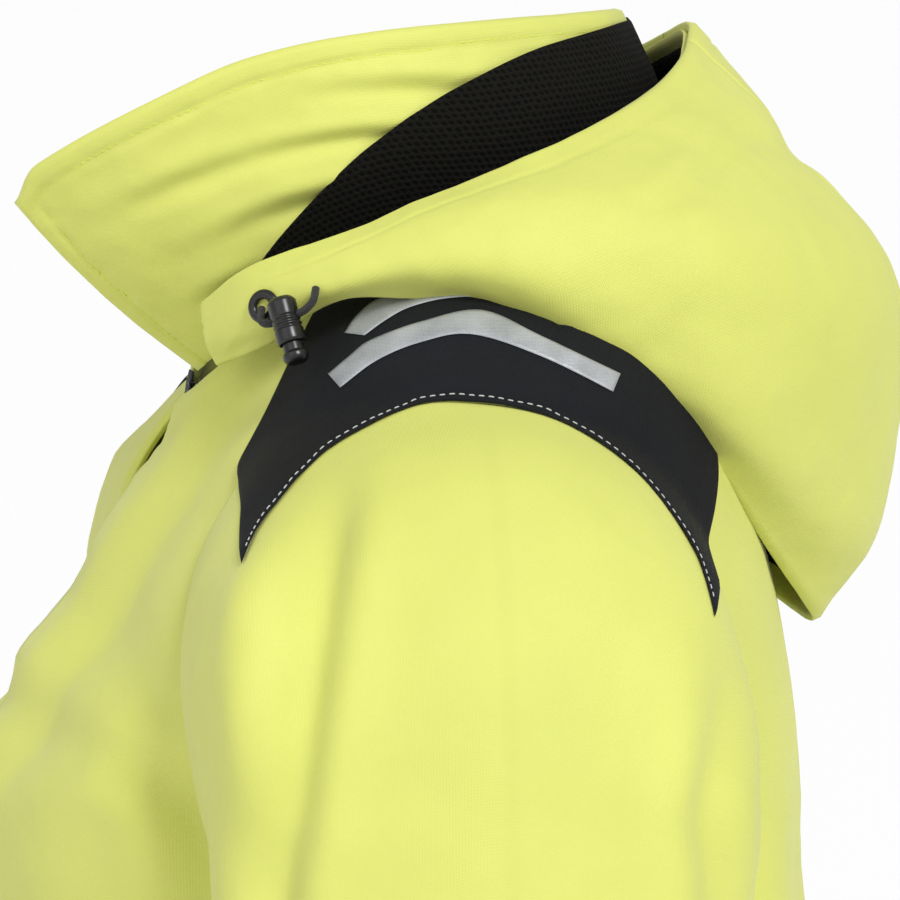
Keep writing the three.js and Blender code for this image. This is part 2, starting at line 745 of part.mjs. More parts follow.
const cord = { radius: 1.5, corner: 6.5, lead: 4, sides: 8 };
const eyelet = { outer: 6.5, inner: 2.8, height: 2 };
const lock = { radius: 5.5, length: 18, above: 6, bore: 4.3, boreDepth: 8.5 };
const plunger = { stem: 3.9, cap: 4.9, capHeight: 4, inside: 4.6 };

const cordStart = 2 * seamGap + eyelet.height;

// The cord leaves its eyelet, runs straight through the lock and goes back in at a slit.
// Distances are along the panel, down it and out of it.
function cordPoints(slope) {
  const flat = 2 * lock.radius;
  const r = cord.corner;
  const arc = (middle, from) =>
    steps(from, from + Math.PI / 2, 4).map((t) => [
      middle - r * Math.cos(t),
      cord.lead + r * Math.sin(t),
    ]);
  const across = [[0, 0], [0, cord.lead * 0.5], ...arc(r, 0), [r + flat / 2, cord.lead + r]];
  const half = across.slice(0, -1).map(([a, d]) => [2 * r + flat - a, d]);
  const all = [...across, ...half.reverse()];
  return all.map(([a, d]) => new THREE.Vector3(-a, d * Math.cos(slope), cordStart + d * Math.sin(slope)));
}

function makeDrawcord(name, matrix, slope, bodyFinish) {
  const flat = 2 * lock.radius;
  const holeA = -(cord.corner + flat / 2);
  const holeD = cord.lead + cord.corner;
  const holeB = holeD * Math.cos(slope);
  const holeH = cordStart + holeD * Math.sin(slope);
  const put = (geometry) => geometry.applyMatrix4(matrix);

  const ringProfile = [
    [eyelet.inner, seamGap],
    [eyelet.outer, seamGap],
    [eyelet.outer - 0.8, seamGap + eyelet.height],
    [eyelet.inner + 0.5, seamGap + eyelet.height],
    [eyelet.inner, seamGap],
  ].map(([x, y]) => new THREE.Vector2(x, y));
  const ring = new THREE.LatheGeometry(ringProfile, 18).rotateX(Math.PI / 2);
  placePair(`${name}_eyelet`, put(geometryOf(solid(ring))), bodyFinish);

  const section = new THREE.Shape();
  section.absarc(0, 0, cord.radius, 0, 2 * Math.PI);
  const path = new THREE.CatmullRomCurve3(cordPoints(slope));
  const tube = new THREE.ExtrudeGeometry(section, {
    steps: 22,
    curveSegments: cord.sides / 2,
    bevelEnabled: false,
    extrudePath: path,
  });
  placePair(`${name}_cord`, put(geometryOf(solid(tube))), material.cord);

  // The lock's axis runs down the panel. A lathe's own axis is Y, which is down here.
  const endB = holeB - lock.above + lock.length;
  const barrelProfile = [
    [0, -lock.above],
    [lock.radius - 1, -lock.above],
    [lock.radius, -lock.above + 1],
    [lock.radius, lock.length - lock.above],
    [lock.bore, lock.length - lock.above],
    [lock.bore, lock.length - lock.above - lock.boreDepth],
    [0, lock.length - lock.above - lock.boreDepth],
  ].map(([x, y]) => new THREE.Vector2(x, y));
  const barrel = new THREE.LatheGeometry(barrelProfile, 20).translate(holeA, holeB, holeH);
  const passage = rodX(cord.radius + runningGap, 4 * lock.radius, holeB, holeH, 12);
  const crossHole = passage.translate([holeA, 0, 0]);
  placePair(`${name}_lock`, put(geometryOf(solid(barrel).subtract(crossHole))), material.plastic);

  const capProfile = [
    [0, endB - plunger.inside],
    [plunger.stem, endB - plunger.inside],
    [plunger.stem, endB + 3.6],
    [plunger.cap, endB + 4],
    [plunger.cap, endB + 4 + plunger.capHeight * 0.5],
    [plunger.cap * 0.75, endB + 4 + plunger.capHeight * 0.9],
    [0, endB + 4 + plunger.capHeight],
  ].map(([x, y]) => new THREE.Vector2(x, y));
  const cap = new THREE.LatheGeometry(capProfile, 20).translate(holeA, 0, holeH);
  placePair(`${name}_lock_plunger`, put(geometryOf(solid(cap))), material.plastic);
}

// A frame on a surface at an eyelet: away from the slit, down the panel and out of it
function frameBetween(surface, eyeletAt, slitAt) {
  const [from, to] = [surface(...eyeletAt), surface(...slitAt)];
  const away = from.clone().sub(to).normalize();
  const middle = eyeletAt.map((value, i) => (value + slitAt[i]) / 2);
  const outward = normalOf(surface, ...middle);
  outward.addScaledVector(away, -outward.dot(away)).normalize();
  const down = new THREE.Vector3().crossVectors(outward, away);
  return new THREE.Matrix4().makeBasis(away, down, outward).setPosition(from);
}

// Where each cord comes out and goes in on its surface, and how far it stands out from it
const hoodCordPlace = { eyelet: [14.88, 0.52], slit: [14.3, 0.56], slope: degrees(38) };
const hemCordPlace = { eyelet: [9.72, 6.5], slit: [9.72, 7.2], slope: degrees(30) };

function makeDrawcords() {
  const hood = frameBetween(hoodSurface, hoodCordPlace.eyelet, hoodCordPlace.slit);
  makeDrawcord("hood", hood, hoodCordPlace.slope, material.plastic);
  const hem = frameBetween(bodyGrid, hemCordPlace.eyelet, hemCordPlace.slit);
  makeDrawcord("hem", hem, hemCordPlace.slope, material.plastic);
}

makeBody();
makeReflectiveStrips();
makeSleeves(bodyBlock(seamGap));
makeCollar();
makeHood(bodyBlock(2 * seamGap + tapeThickness));
makeZip();
makePlacket();
makePockets(bodyBlock(seamGap));
makeHangerLoop();
makeDrawcords();

export default jacket;
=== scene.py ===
# Hooded foul weather jacket: hood down, collar open, arms hanging
import math
import random

import bpy
import numpy as np
from mathutils import Matrix, Vector, noise
from mathutils.bvhtree import BVHTree


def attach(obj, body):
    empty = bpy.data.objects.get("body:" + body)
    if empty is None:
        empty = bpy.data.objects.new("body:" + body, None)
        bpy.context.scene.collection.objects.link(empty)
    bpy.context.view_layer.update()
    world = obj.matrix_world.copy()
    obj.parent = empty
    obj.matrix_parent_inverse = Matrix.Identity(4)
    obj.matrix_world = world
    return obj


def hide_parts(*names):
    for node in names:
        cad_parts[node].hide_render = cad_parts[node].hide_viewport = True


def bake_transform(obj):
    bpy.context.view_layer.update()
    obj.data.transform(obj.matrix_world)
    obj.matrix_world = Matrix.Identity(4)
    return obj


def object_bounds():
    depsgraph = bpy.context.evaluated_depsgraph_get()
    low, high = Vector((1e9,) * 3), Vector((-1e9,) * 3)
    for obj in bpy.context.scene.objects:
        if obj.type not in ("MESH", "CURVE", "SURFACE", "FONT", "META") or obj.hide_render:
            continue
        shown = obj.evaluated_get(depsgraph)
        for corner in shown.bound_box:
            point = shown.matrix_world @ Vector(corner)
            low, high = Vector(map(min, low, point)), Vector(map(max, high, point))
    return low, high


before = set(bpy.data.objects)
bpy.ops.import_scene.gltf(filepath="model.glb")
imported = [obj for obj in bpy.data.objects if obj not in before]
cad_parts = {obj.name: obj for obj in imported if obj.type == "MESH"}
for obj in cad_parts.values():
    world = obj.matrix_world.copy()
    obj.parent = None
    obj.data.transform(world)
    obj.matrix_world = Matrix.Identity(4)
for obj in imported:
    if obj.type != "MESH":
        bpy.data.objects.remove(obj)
cadBox = [list(corner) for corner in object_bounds()]
random.seed(11)
mm = 0.001
sides = {"left": 1, "right": -1}
print("frame loaded")

# ---- camera and light ----
cameraPlace = {"target": (0.1, 0, -0.05), "azimuth": 82, "elevation": 6, "distance": 2.5, "lens": 263.2}


def makeCamera():
    a, e = math.radians(cameraPlace["azimuth"]), math.radians(cameraPlace["elevation"])
    back = Vector((math.sin(a) * math.cos(e), -math.cos(a) * math.cos(e), math.sin(e)))
    data = bpy.data.cameras.new("camera")
    data.lens = cameraPlace["lens"]
    data.sensor_width = 36
    data.clip_start, data.clip_end = 0.1, 200
    camera = bpy.data.objects.new("camera", data)
    camera.location = Vector(cameraPlace["target"]) + back * cameraPlace["distance"]
    camera.rotation_mode = "QUATERNION"
    camera.rotation_quaternion = (-back).to_track_quat("-Z", "Y")
    bpy.context.scene.collection.objects.link(camera)
    bpy.context.scene.camera = camera


studio = {
    "world": 0.56,
    "key": {"turn": (50, 0, 108), "energy": 2.05, "angle": 16},
    "fill": {"turn": (64, 0, 40), "energy": 0.5, "angle": 50},
    "floorSize": 160,
}


def makeLights():
    world = bpy.data.worlds.new("softBox")
    world.use_nodes = True
    world.node_tree.nodes["Background"].inputs[0].default_value = (1, 1, 1, 1)
    world.node_tree.nodes["Background"].inputs[1].default_value = studio["world"]
    bpy.context.scene.world = world
    for name in ("key", "fill"):
        facts = studio[name]
        data = bpy.data.lights.new(name, "SUN")
        data.energy = facts["energy"]
        data.angle = math.radians(facts["angle"])
        lamp = bpy.data.objects.new(name, data)
        lamp.rotation_euler = [math.radians(d) for d in facts["turn"]]
        bpy.context.scene.collection.objects.link(lamp)
    bpy.context.scene.view_settings.view_transform = "Standard"


makeCamera()
makeLights()
print("camera and light made")


# ---- materials ----
def linear(code):
    parts = [int(code[i : i + 2], 16) / 255 for i in (1, 3, 5)]
    return tuple(c / 12.92 if c <= 0.04045 else ((c + 0.055) / 1.055) ** 2.4 for c in parts) + (1,)


def addNode(tree, kind, settings=None, **links):
    node = tree.nodes.new(kind)
    for key, value in (settings or {}).items():
        setattr(node, key, value)
    for key, value in links.items():
        socket = node.inputs[int(key[1:])] if key[0] == "i" and key[1:].isdigit() else node.inputs[key]
        if isinstance(value, bpy.types.NodeSocket):
            tree.links.new(value, socket)
        else:
            socket.default_value = value
    return node


def startMaterial(name, rough, **sockets):
    material = bpy.data.materials.new(name)
    material.use_nodes = True
    tree = material.node_tree
    shader = tree.nodes["Principled BSDF"]
    shader.inputs["Roughness"].default_value = rough
    for key, value in sockets.items():
        shader.inputs[key.replace("_", " ")].default_value = value
    return material, tree, shader


def mixColours(tree, factor, low, high):
    ramp = addNode(tree, "ShaderNodeValToRGB", Fac=factor)
    ramp.color_ramp.elements[0].color = linear(low)
    ramp.color_ramp.elements[1].color = linear(high)
    return ramp


def bandScale(pitch):  # Scale of a band texture for one band every pitch millimetres
    return 314.16 / pitch


def weave(tree, coordinates, pitch):  # two crossed sets of threads
    waves = []
    for direction in ("X", "Y"):
        wave = addNode(
            tree,
            "ShaderNodeTexWave",
            {"wave_type": "BANDS", "bands_direction": direction, "wave_profile": "SIN"},
            Vector=coordinates,
            Scale=bandScale(pitch),
            Distortion=0.6,
            Detail=1.0,
        )
        waves.append(wave.outputs["Fac"])
    return addNode(tree, "ShaderNodeMath", {"operation": "MULTIPLY"}, i0=waves[0], i1=waves[1]).outputs[0]


def clothMaterial(name, low, high, rough, pitch, weaveDepth, creaseSize, creaseDepth, sheen=0.0, shine=0.5):
    material, tree, shader = startMaterial(
        name, rough, Sheen_Weight=sheen, Sheen_Roughness=0.5, Specular_IOR_Level=shine
    )
    place = addNode(tree, "ShaderNodeTexCoord")
    tint = addNode(tree, "ShaderNodeTexNoise", Vector=place.outputs["Object"], Scale=9.0, Detail=4.0)
    ramp = mixColours(tree, tint.outputs["Fac"], low, high)
    ramp.color_ramp.elements[0].position, ramp.color_ramp.elements[1].position = 0.3, 0.7
    tree.links.new(ramp.outputs[0], shader.inputs["Base Color"])
    threads = weave(tree, place.outputs["UV"], pitch)
    grain = addNode(tree, "ShaderNodeBump", Height=threads, Strength=weaveDepth, Distance=0.0004)
    creases = addNode(
        tree, "ShaderNodeTexNoise", Vector=place.outputs["Object"], Scale=1000 / creaseSize, Detail=3.0
    )
    bump = addNode(
        tree,
        "ShaderNodeBump",
        Height=creases.outputs["Fac"],
        Strength=creaseDepth,
        Distance=0.002,
        Normal=grain.outputs[0],
    )
    tree.links.new(bump.outputs[0], shader.inputs["Normal"])
    wear = addNode(tree, "ShaderNodeMapRange", Value=tint.outputs["Fac"], i3=rough - 0.05, i4=rough + 0.06)
    tree.links.new(wear.outputs[0], shader.inputs["Roughness"])
    return material


def makeKnit():
    # warp-knitted polyester mesh: matt threads round small open holes, drawn 2.4 mm apart
    material, tree, shader = startMaterial("warpKnitMesh", 0.92, Specular_IOR_Level=0.15)
    place = addNode(tree, "ShaderNodeTexCoord")
    cells = addNode(
        tree, "ShaderNodeTexVoronoi", {"feature": "F1"}, Vector=place.outputs["UV"], Scale=1000 / 2.6, Randomness=0.18
    )
    ramp = mixColours(tree, cells.outputs["Distance"], "#010101", "#12110D")
    ramp.color_ramp.elements[0].position, ramp.color_ramp.elements[1].position = 0.26, 0.4
    tree.links.new(ramp.outputs[0], shader.inputs["Base Color"])
    bump = addNode(tree, "ShaderNodeBump", Height=cells.outputs["Distance"], Strength=0.9, Distance=0.0009)
    tree.links.new(bump.outputs[0], shader.inputs["Normal"])
    return material


def makeRib():
    # rib-knitted cuff: soft ridges down the wrist every 3 mm, with painted shade in the valleys between them
    material, tree, shader = startMaterial("ribKnit", 0.92, Sheen_Weight=0.15)
    place = addNode(tree, "ShaderNodeTexCoord")
    ribs = addNode(
        tree,
        "ShaderNodeTexWave",
        {"wave_type": "BANDS", "bands_direction": "X"},
        Vector=place.outputs["UV"],
        Scale=bandScale(3.0),
        Distortion=0.3,
    )
    # painted shade: the valleys of the ribs are coloured darker and the crests lighter
    ramp = mixColours(tree, ribs.outputs["Fac"], "#0B0B0C", "#242428")
    tree.links.new(ramp.outputs[0], shader.inputs["Base Color"])
    bump = addNode(tree, "ShaderNodeBump", Height=ribs.outputs["Fac"], Strength=1.0, Distance=0.001)
    tree.links.new(bump.outputs[0], shader.inputs["Normal"])
    return material


def makeTape():
    # glass-bead reflective tape: pale grey with a fine laid grid and scuffs
    material, tree, shader = startMaterial("beadedReflectiveTape", 0.42, Metallic=0.15)
    place = addNode(tree, "ShaderNodeTexCoord")
    cells = addNode(
        tree, "ShaderNodeTexVoronoi", {"feature": "F1"}, Vector=place.outputs["Object"], Scale=1000 / 1.2, Randomness=0.3
    )
    scuffs = addNode(tree, "ShaderNodeTexNoise", Vector=place.outputs["Object"], Scale=60.0, Detail=6.0)
    both = addNode(
        tree, "ShaderNodeMath", {"operation": "MULTIPLY_ADD"}, i0=cells.outputs["Distance"], i1=0.3, i2=scuffs.outputs["Fac"]
    )
    ramp = mixColours(tree, both.outputs[0], "#84888C", "#AEB1B5")
    ramp.color_ramp.elements[0].position, ramp.color_ramp.elements[1].position = 0.3, 0.8
    tree.links.new(ramp.outputs[0], shader.inputs["Base Color"])
    bump = addNode(tree, "ShaderNodeBump", Height=cells.outputs["Distance"], Strength=0.35, Distance=0.0002)
    tree.links.new(bump.outputs[0], shader.inputs["Normal"])
    return material


def makeHard(name, low, high, rough, grainSize, metallic=0.0):
    material, tree, shader = startMaterial(name, rough, Metallic=metallic)
    place = addNode(tree, "ShaderNodeTexCoord")
    grain = addNode(
        tree, "ShaderNodeTexNoise", Vector=place.outputs["Object"], Scale=1000 / grainSize, Detail=5.0
    )
    ramp = mixColours(tree, grain.outputs["Fac"], low, high)
    tree.links.new(ramp.outputs[0], shader.inputs["Base Color"])
    wear = addNode(tree, "ShaderNodeMapRange", Value=grain.outputs["Fac"], i3=rough - 0.06, i4=rough + 0.1)
    tree.links.new(wear.outputs[0], shader.inputs["Roughness"])
    bump = addNode(tree, "ShaderNodeBump", Height=grain.outputs["Fac"], Strength=0.15, Distance=0.0003)
    tree.links.new(bump.outputs[0], shader.inputs["Normal"])
    return material


def makeBraid(name, low, high, pitch):
    material, tree, shader = startMaterial(name, 0.8, Sheen_Weight=0.1)
    place = addNode(tree, "ShaderNodeTexCoord")
    threads = []
    for turn in (0.9, -0.9):
        turned = addNode(tree, "ShaderNodeMapping", Vector=place.outputs["UV"], Rotation=(0, 0, turn))
        wave = addNode(
            tree,
            "ShaderNodeTexWave",
            {"wave_type": "BANDS", "bands_direction": "X"},
            Vector=turned.outputs[0],
            Scale=bandScale(pitch),
        )
        threads.append(wave.outputs["Fac"])
    height = addNode(tree, "ShaderNodeMath", {"operation": "MAXIMUM"}, i0=threads[0], i1=threads[1])
    # painted shade: the gaps between the strands are coloured darker and the strand crests lighter
    ramp = mixColours(tree, height.outputs[0], low, high)
    tree.links.new(ramp.outputs[0], shader.inputs["Base Color"])
    bump = addNode(tree, "ShaderNodeBump", Height=height.outputs[0], Strength=0.8, Distance=0.0004)
    tree.links.new(bump.outputs[0], shader.inputs["Normal"])
    return material


finishes = {
    # coated high-visibility polyester over wadding: matt, faint weave, small soft creases
    "shell": clothMaterial("coatedHiVisPolyester", "#C7CB62", "#D1D56A", 0.66, 1.1, 0.22, 14.0, 0.2, 0.12),
    # the same cloth's folded edge and sewing thread, a little deeper
    "shellThread": makeHard("yellowSewingThread", "#C6CE3A", "#DCE556", 0.7, 1.0),
    # plain-woven textured nylon, near black blue, with a visible weave
    "yoke_fabric": clothMaterial("texturedNylon", "#0B0C10", "#14161B", 0.8, 1.3, 0.5, 9.0, 0.25, shine=0.22),
    "reflective_tape": makeTape(),
    "knit_lining": makeKnit(),
    "rib_knit": makeRib(),
    # light taffeta lining with a slight gloss
    "lining": clothMaterial("taffetaLining", "#23262D", "#30343C", 0.5, 0.9, 0.2, 22.0, 0.5, 0.1),
    "webbing": makeBraid("wovenPolyesterTape", "#0F1013", "#2A2C31", 1.2),
    "elastic_cord": makeBraid("braidedElasticCord", "#0A0A0B", "#2B2A2C", 0.9),
    # moulded acetal, black with a soft gloss
    "moulded_plastic": makeHard("mouldedAcetal", "#0B0B0C", "#161617", 0.3, 3.0),
    # black-plated zinc, rubbed a little bright
    "zip_metal": makeHard("platedZinc", "#2B2A29", "#4A4846", 0.34, 4.0, 0.95),
    "paleThread": makeHard("greySewingThread", "#A9ABA8", "#C8CAC6", 0.7, 0.8),
}
print("materials made")


# ---- surfaces, in millimetres ----
body = {
    "sections": [
        [85, -90, 100, -31, 32, 28],
        [125, -93, 110, -53, 14, 16],
        [163, -105, 119, -76, -14, -6],
        [189, -126, 129, -110, -72, -36],
        [201, -155, 140, -154, -125, -84],
        [205, -184, 151, -205, -200, -160],
        [203, -184, 160, -290, -290, -290],
        [199, -184, 160, -400, -400, -400],
        [197, -184, 154, -520, -520, -520],
        [200, -184, 150, -650, -650, -650],
        [206, -184, 154, -780, -780, -780],
    ],
    "zipHalf": 8,
    "neckHalf": 20,
    "sideSeam": 10,
    "armhole": {"y": -6, "z": -143, "ry": 95, "rz": 112},
}
sleeve = {
    "sections": [  # the first lies inside the body, where the cloth tucks in
        [118, -14, 184, -246, 96, -6],
        [172, -22, 200, -260, 101, -6],
        [226, -38, 206, -268, 100, -6],
        [270, -82, 209, -276, 98, -7],
        [295, -150, 211, -290, 94, -8],
        [305, -235, 213, -315, 90, -9],
        [311, -350, 218, -380, 86, -10],
        [317, -470, 223, -470, 80, -14],
        [320, -575, 231, -575, 70, -26],
        [321, -680, 239, -680, 60, -42],
    ],
    "elbow": 6,
    "wrist": 8,
}
collar = {
    "stations": [
        [210, -48, 67, 115],
        [180, 0, 80, 114],
        [150, 48, 67, 115],
        [122, 80, 34, 114],
        [98, 96, -10, 111],
        [80, 98, -42, 107],
        [62, 95, -76, 99],
        [45, 87, -113, 82],
        [29, 70, -144, 64],
        [14, 50, -167, 47],
    ],
    "rightDrop": 17,
    "rightBack": 17,  # how far the right half's front edge hangs back
    "bulge": 6,
    "wall": 4.5,
}
hood = {
    "stations": [
        [[74, -93, 5], [80, -93, -2], [84, -92, -10], [84, -88, -19]],
        [[98, -75, 22], [109, -76, 12], [114, -74, 0], [111, -68, -8]],
        [[114, -45, 34], [127, -46, 26], [132, -44, 17], [128, -40, 9]],
        [[120, -10, 49], [138, -8, 40], [146, -5, 25], [135, -2, 10]],
        [[118, 25, 63], [143, 32, 45], [154, 38, 18], [145, 40, -6]],
        [[99, 62, 78], [135, 80, 46], [149, 88, -5], [138, 85, -42]],
        [[68, 88, 90], [100, 122, 46], [116, 138, -30], [96, 125, -92]],
        [[30, 105, 103], [48, 150, 46], [59, 178, -38], [48, 150, -124]],
        [[0, 110, 109], [0, 156, 43], [0, 187, -42], [0, 155, -129]],
        [[-30, 105, 103], [-48, 150, 46], [-59, 178, -38], [-48, 150, -124]],
    ],
    "seamStation": 7,
    "brimFrom": 5.5,
    "brimShare": 0.26,
}


def rowAt(table, position):  # smooth row of a table at a number that may be a fraction
    rows = np.asarray(table, float)
    position = np.asarray(position, float)
    last = len(rows) - 1
    i = np.clip(np.floor(position).astype(int), 0, last - 1)
    t = (position - i)[..., None]
    step = np.diff(rows, axis=0)
    before = step[np.maximum(np.arange(last + 1), 1) - 1]
    after = step[np.minimum(np.arange(last + 1) + 1, last) - 1]
    both = before + after
    slope = np.where(before * after > 0, 2 * before * after / np.where(both == 0, 1, both), 0)
    ease = t * t * (3 - 2 * t)
    leave, arrive = slope[i] * t * (1 - t) ** 2, slope[i + 1] * t * t * (1 - t)
    return rows[i] + (rows[i + 1] - rows[i]) * ease + leave - arrive


def blunt(value, power):
    return np.sign(value) * np.abs(value) ** power


def bodySurface(angle, section):
    half, front, back, zFront, zBack, zSide = np.moveaxis(rowAt(body["sections"], section), -1, 0)
    s, c = np.sin(angle), np.cos(angle)
    y = (front + back) / 2 - (back - front) / 2 * blunt(c, 0.92)
    z = zSide * s * s + np.where(c > 0, zFront, zBack) * c * c
    return np.stack([half * blunt(s, 0.85), y, z], -1)


def bodyPoint(section, column):
    section, column = np.broadcast_arrays(np.asarray(section, float), np.asarray(column, float))
    other = column > 16
    u = np.where(other, 32 - column, column)
    half = rowAt(body["sections"], section)[..., 0]
    share = np.maximum(0, 1 - section / 5)
    edgeX = body["zipHalf"] + (body["neckHalf"] - body["zipHalf"]) * share
    edge = np.arcsin((edgeX / half) ** (1 / 0.85))
    first = math.radians(12)
    angle = edge + (first - edge) * u
    angle = np.where(u > 1, np.radians(12 + (u - 1) * 10), angle)
    angle = np.where(u > body["sideSeam"], np.radians(102 + (u - body["sideSeam"]) * 13), angle)
    point = bodySurface(angle, section)
    point[..., 0] = np.where(other, -point[..., 0], point[..., 0])
    return point


def sleeveRow(section):  # section 0 is at the armhole, 6 at the elbow and 8 at the wrist
    return rowAt(sleeve["sections"], np.asarray(section, float) + 1)


def sleevePoint(turn, section):
    outX, outZ, inX, inZ, depth, middleY = np.moveaxis(sleeveRow(section), -1, 0)
    angle = np.radians(turn)
    along = blunt(np.cos(angle), 0.9) / 2
    x = (outX + inX) / 2 + (outX - inX) * along
    z = (outZ + inZ) / 2 + (outZ - inZ) * along
    return np.stack([x, middleY - depth * blunt(np.sin(angle), 0.95), z], -1)


def collarPoint(station, height):  # station 0 is the nape, 8 the left front edge, -8 the right one
    station, height = np.broadcast_arrays(np.asarray(station, float), np.asarray(height, float))
    side = np.where(station < 0, -1, 1)
    at = np.minimum(8, np.abs(station))
    angle, x, y, z = np.moveaxis(rowAt(collar["stations"], at + 1), -1, 0)
    foot = bodySurface(np.radians(angle), np.zeros_like(at))
    foot[..., 2] += 0.8
    height = height * (1 - 0.085 * smooth(at, 7.35, 8.05) ** 1.5)  # the front corner is round
    point = foot + (np.stack([x, y, z], -1) - foot) * height[..., None]
    outward = foot * [1, 1, 0]
    outward /= np.linalg.norm(outward, axis=-1)[..., None]
    point += outward * (collar["bulge"] * np.sin(np.pi * height))[..., None]
    dropped = np.where(side < 0, np.minimum(1, at / 3), 0)
    point[..., 2] -= collar["rightDrop"] * dropped * height
    back = np.where(side < 0, smooth(at, 4.5, 8), 0)
    point[..., 1] += collar["rightBack"] * back * height**0.8
    point[..., 0] *= side
    return point


def hoodPoint(station, share):  # station 0 is the right throat, 8 the middle of the back, 16 the left throat
    station, share = np.broadcast_arrays(np.asarray(station, float), np.asarray(share, float))
    side = np.where(station < 8, -1, 1)
    at = np.maximum(0, np.where(side < 0, station, 16 - station))
    flat = rowAt([sum(points, []) for points in hood["stations"]], at)
    rows = flat.reshape(flat.shape[:-1] + (4, 3))
    t = np.clip(share * 3, -1, 3.4)
    i = np.clip(np.floor(t).astype(int), 0, 2)
    f = (t - i)[..., None]
    step = np.diff(rows, axis=-2)
    zero = np.zeros_like(rows)

    def slopeAt(k):
        before = np.take_along_axis(step, np.maximum(k - 1, 0)[..., None, None].repeat(3, -1), -2)[..., 0, :]
        after = np.take_along_axis(step, np.minimum(k, 2)[..., None, None].repeat(3, -1), -2)[..., 0, :]
        both = before + after
        return np.where(before * after > 0, 2 * before * after / np.where(both == 0, 1, both), 0)

    p = np.take_along_axis(rows, i[..., None, None].repeat(3, -1), -2)[..., 0, :]
    q = np.take_along_axis(rows, (i + 1)[..., None, None].repeat(3, -1), -2)[..., 0, :]
    ease = f * f * (3 - 2 * f)
    point = p + (q - p) * ease + slopeAt(i) * f * (1 - f) ** 2 - slopeAt(i + 1) * f * f * (1 - f)
    point[..., 0] *= side
    return point


# ---- building in mesh code ----
def normalsOf(surface, u, v):
    e = 1e-3
    du = surface(u + e, v) - surface(u - e, v)
    dv = surface(u, v + e) - surface(u, v - e)
    n = np.cross(du, dv)
    return n / np.maximum(np.linalg.norm(n, axis=-1)[..., None], 1e-9)


def lengthAlong(points, axis):  # distance from the grid's first edge, in millimetres
    step = np.linalg.norm(np.diff(points, axis=axis), axis=-1)
    total = np.cumsum(step, axis=axis)
    start = np.zeros_like(np.take(total, [0], axis=axis))
    return np.concatenate([start, total], axis=axis)


def hump(value, middle, width):
    return np.exp(-(((value - middle) / width) ** 2))


def smooth(value, low, high):
    t = np.clip((value - low) / (high - low), 0, 1)
    return t * t * (3 - 2 * t)


def wrinkles(points, size, seed, stretch=(1, 1, 1)):  # soft noise between about -1 and 1
    flat = np.asarray(points).reshape(-1, 3) * stretch / size + seed * 17.3
    values = [noise.noise(Vector(p)) for p in flat.tolist()]
    return np.array(values).reshape(np.asarray(points).shape[:-1]) * 1.6


def creases(points, lines, side=1):
    """Soft valleys with raised banks. Each line: points (y, z), depth, width, bank."""
    y, z = points[..., 1], points[..., 2]
    out = np.zeros(y.shape)
    for line, depth, width, bank in lines:
        best = np.full(y.shape, 1e9)
        where = np.zeros(y.shape)
        count = len(line) - 1
        for k in range(count):
            a, b = np.array(line[k], float), np.array(line[k + 1], float)
            d = b - a
            t = np.clip(((y - a[0]) * d[0] + (z - a[1]) * d[1]) / (d @ d), 0, 1)
            away = np.hypot(y - a[0] - t * d[0], z - a[1] - t * d[1])
            nearer = away < best
            best = np.where(nearer, away, best)
            where = np.where(nearer, (k + t) / count, where)
        fade = np.sin(np.pi * np.clip(where, 0.02, 0.98)) ** 0.6
        out += fade * (-depth * np.exp(-((best / width) ** 2)) + bank * hump(best, 1.9 * width, 0.9 * width))
    return out * (points[..., 0] * side > 0)


def addMesh(name, points, faces, uv=None):
    mesh = bpy.data.meshes.new(name)
    mesh.from_pydata(np.asarray(points).tolist(), [], faces)
    if uv is not None:
        layer = mesh.uv_layers.new(name="cloth")
        loops = np.zeros(len(mesh.loops), int)
        mesh.loops.foreach_get("vertex_index", loops)
        layer.data.foreach_set("uv", np.asarray(uv)[loops].ravel())
    mesh.polygons.foreach_set("use_smooth", [True] * len(mesh.polygons))
    mesh.update()
    piece = bpy.data.objects.new(name, mesh)
    bpy.context.scene.collection.objects.link(piece)
    return piece


def gridFaces(keep, closed, offset):  # quads of the kept cells, with both layers and walls between them
    nu, nv = keep.shape[0] + (0 if closed else 1), keep.shape[1] + 1
    i, j = np.nonzero(keep)
    k = (i + 1) % nu
    quads = np.stack([i * nv + j, k * nv + j, k * nv + j + 1, i * nv + j + 1], 1)
    edges = np.concatenate([quads[:, [a, (a + 1) % 4]] for a in range(4)])
    codes = edges[:, 0] * 10**7 + edges[:, 1]
    back = edges[:, 1] * 10**7 + edges[:, 0]
    rim = edges[~np.isin(codes, back)]
    walls = np.stack([rim[:, 1], rim[:, 0], rim[:, 0] + offset, rim[:, 1] + offset], 1)
    return np.concatenate([quads, quads[:, ::-1] + offset, walls])


def outward(points, faces):  # the signed volume says which way the faces turn
    p = points[faces]
    volume = np.einsum("ij,ij->i", p[:, 0], np.cross(p[:, 1], p[:, 2])).sum()
    volume += np.einsum("ij,ij->i", p[:, 0], np.cross(p[:, 2], p[:, 3])).sum()
    return faces if volume > 0 else faces[:, ::-1]


def finish(piece, slotName, replaced=(), bodyName=None, blend=None, material=None):
    piece.data.materials.clear()
    piece.data.materials.append(finishes[material or slotName])
    if replaced:
        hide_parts(*replaced)
    if blend:
        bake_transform(piece)
    else:
        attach(piece, bodyName)
    return piece


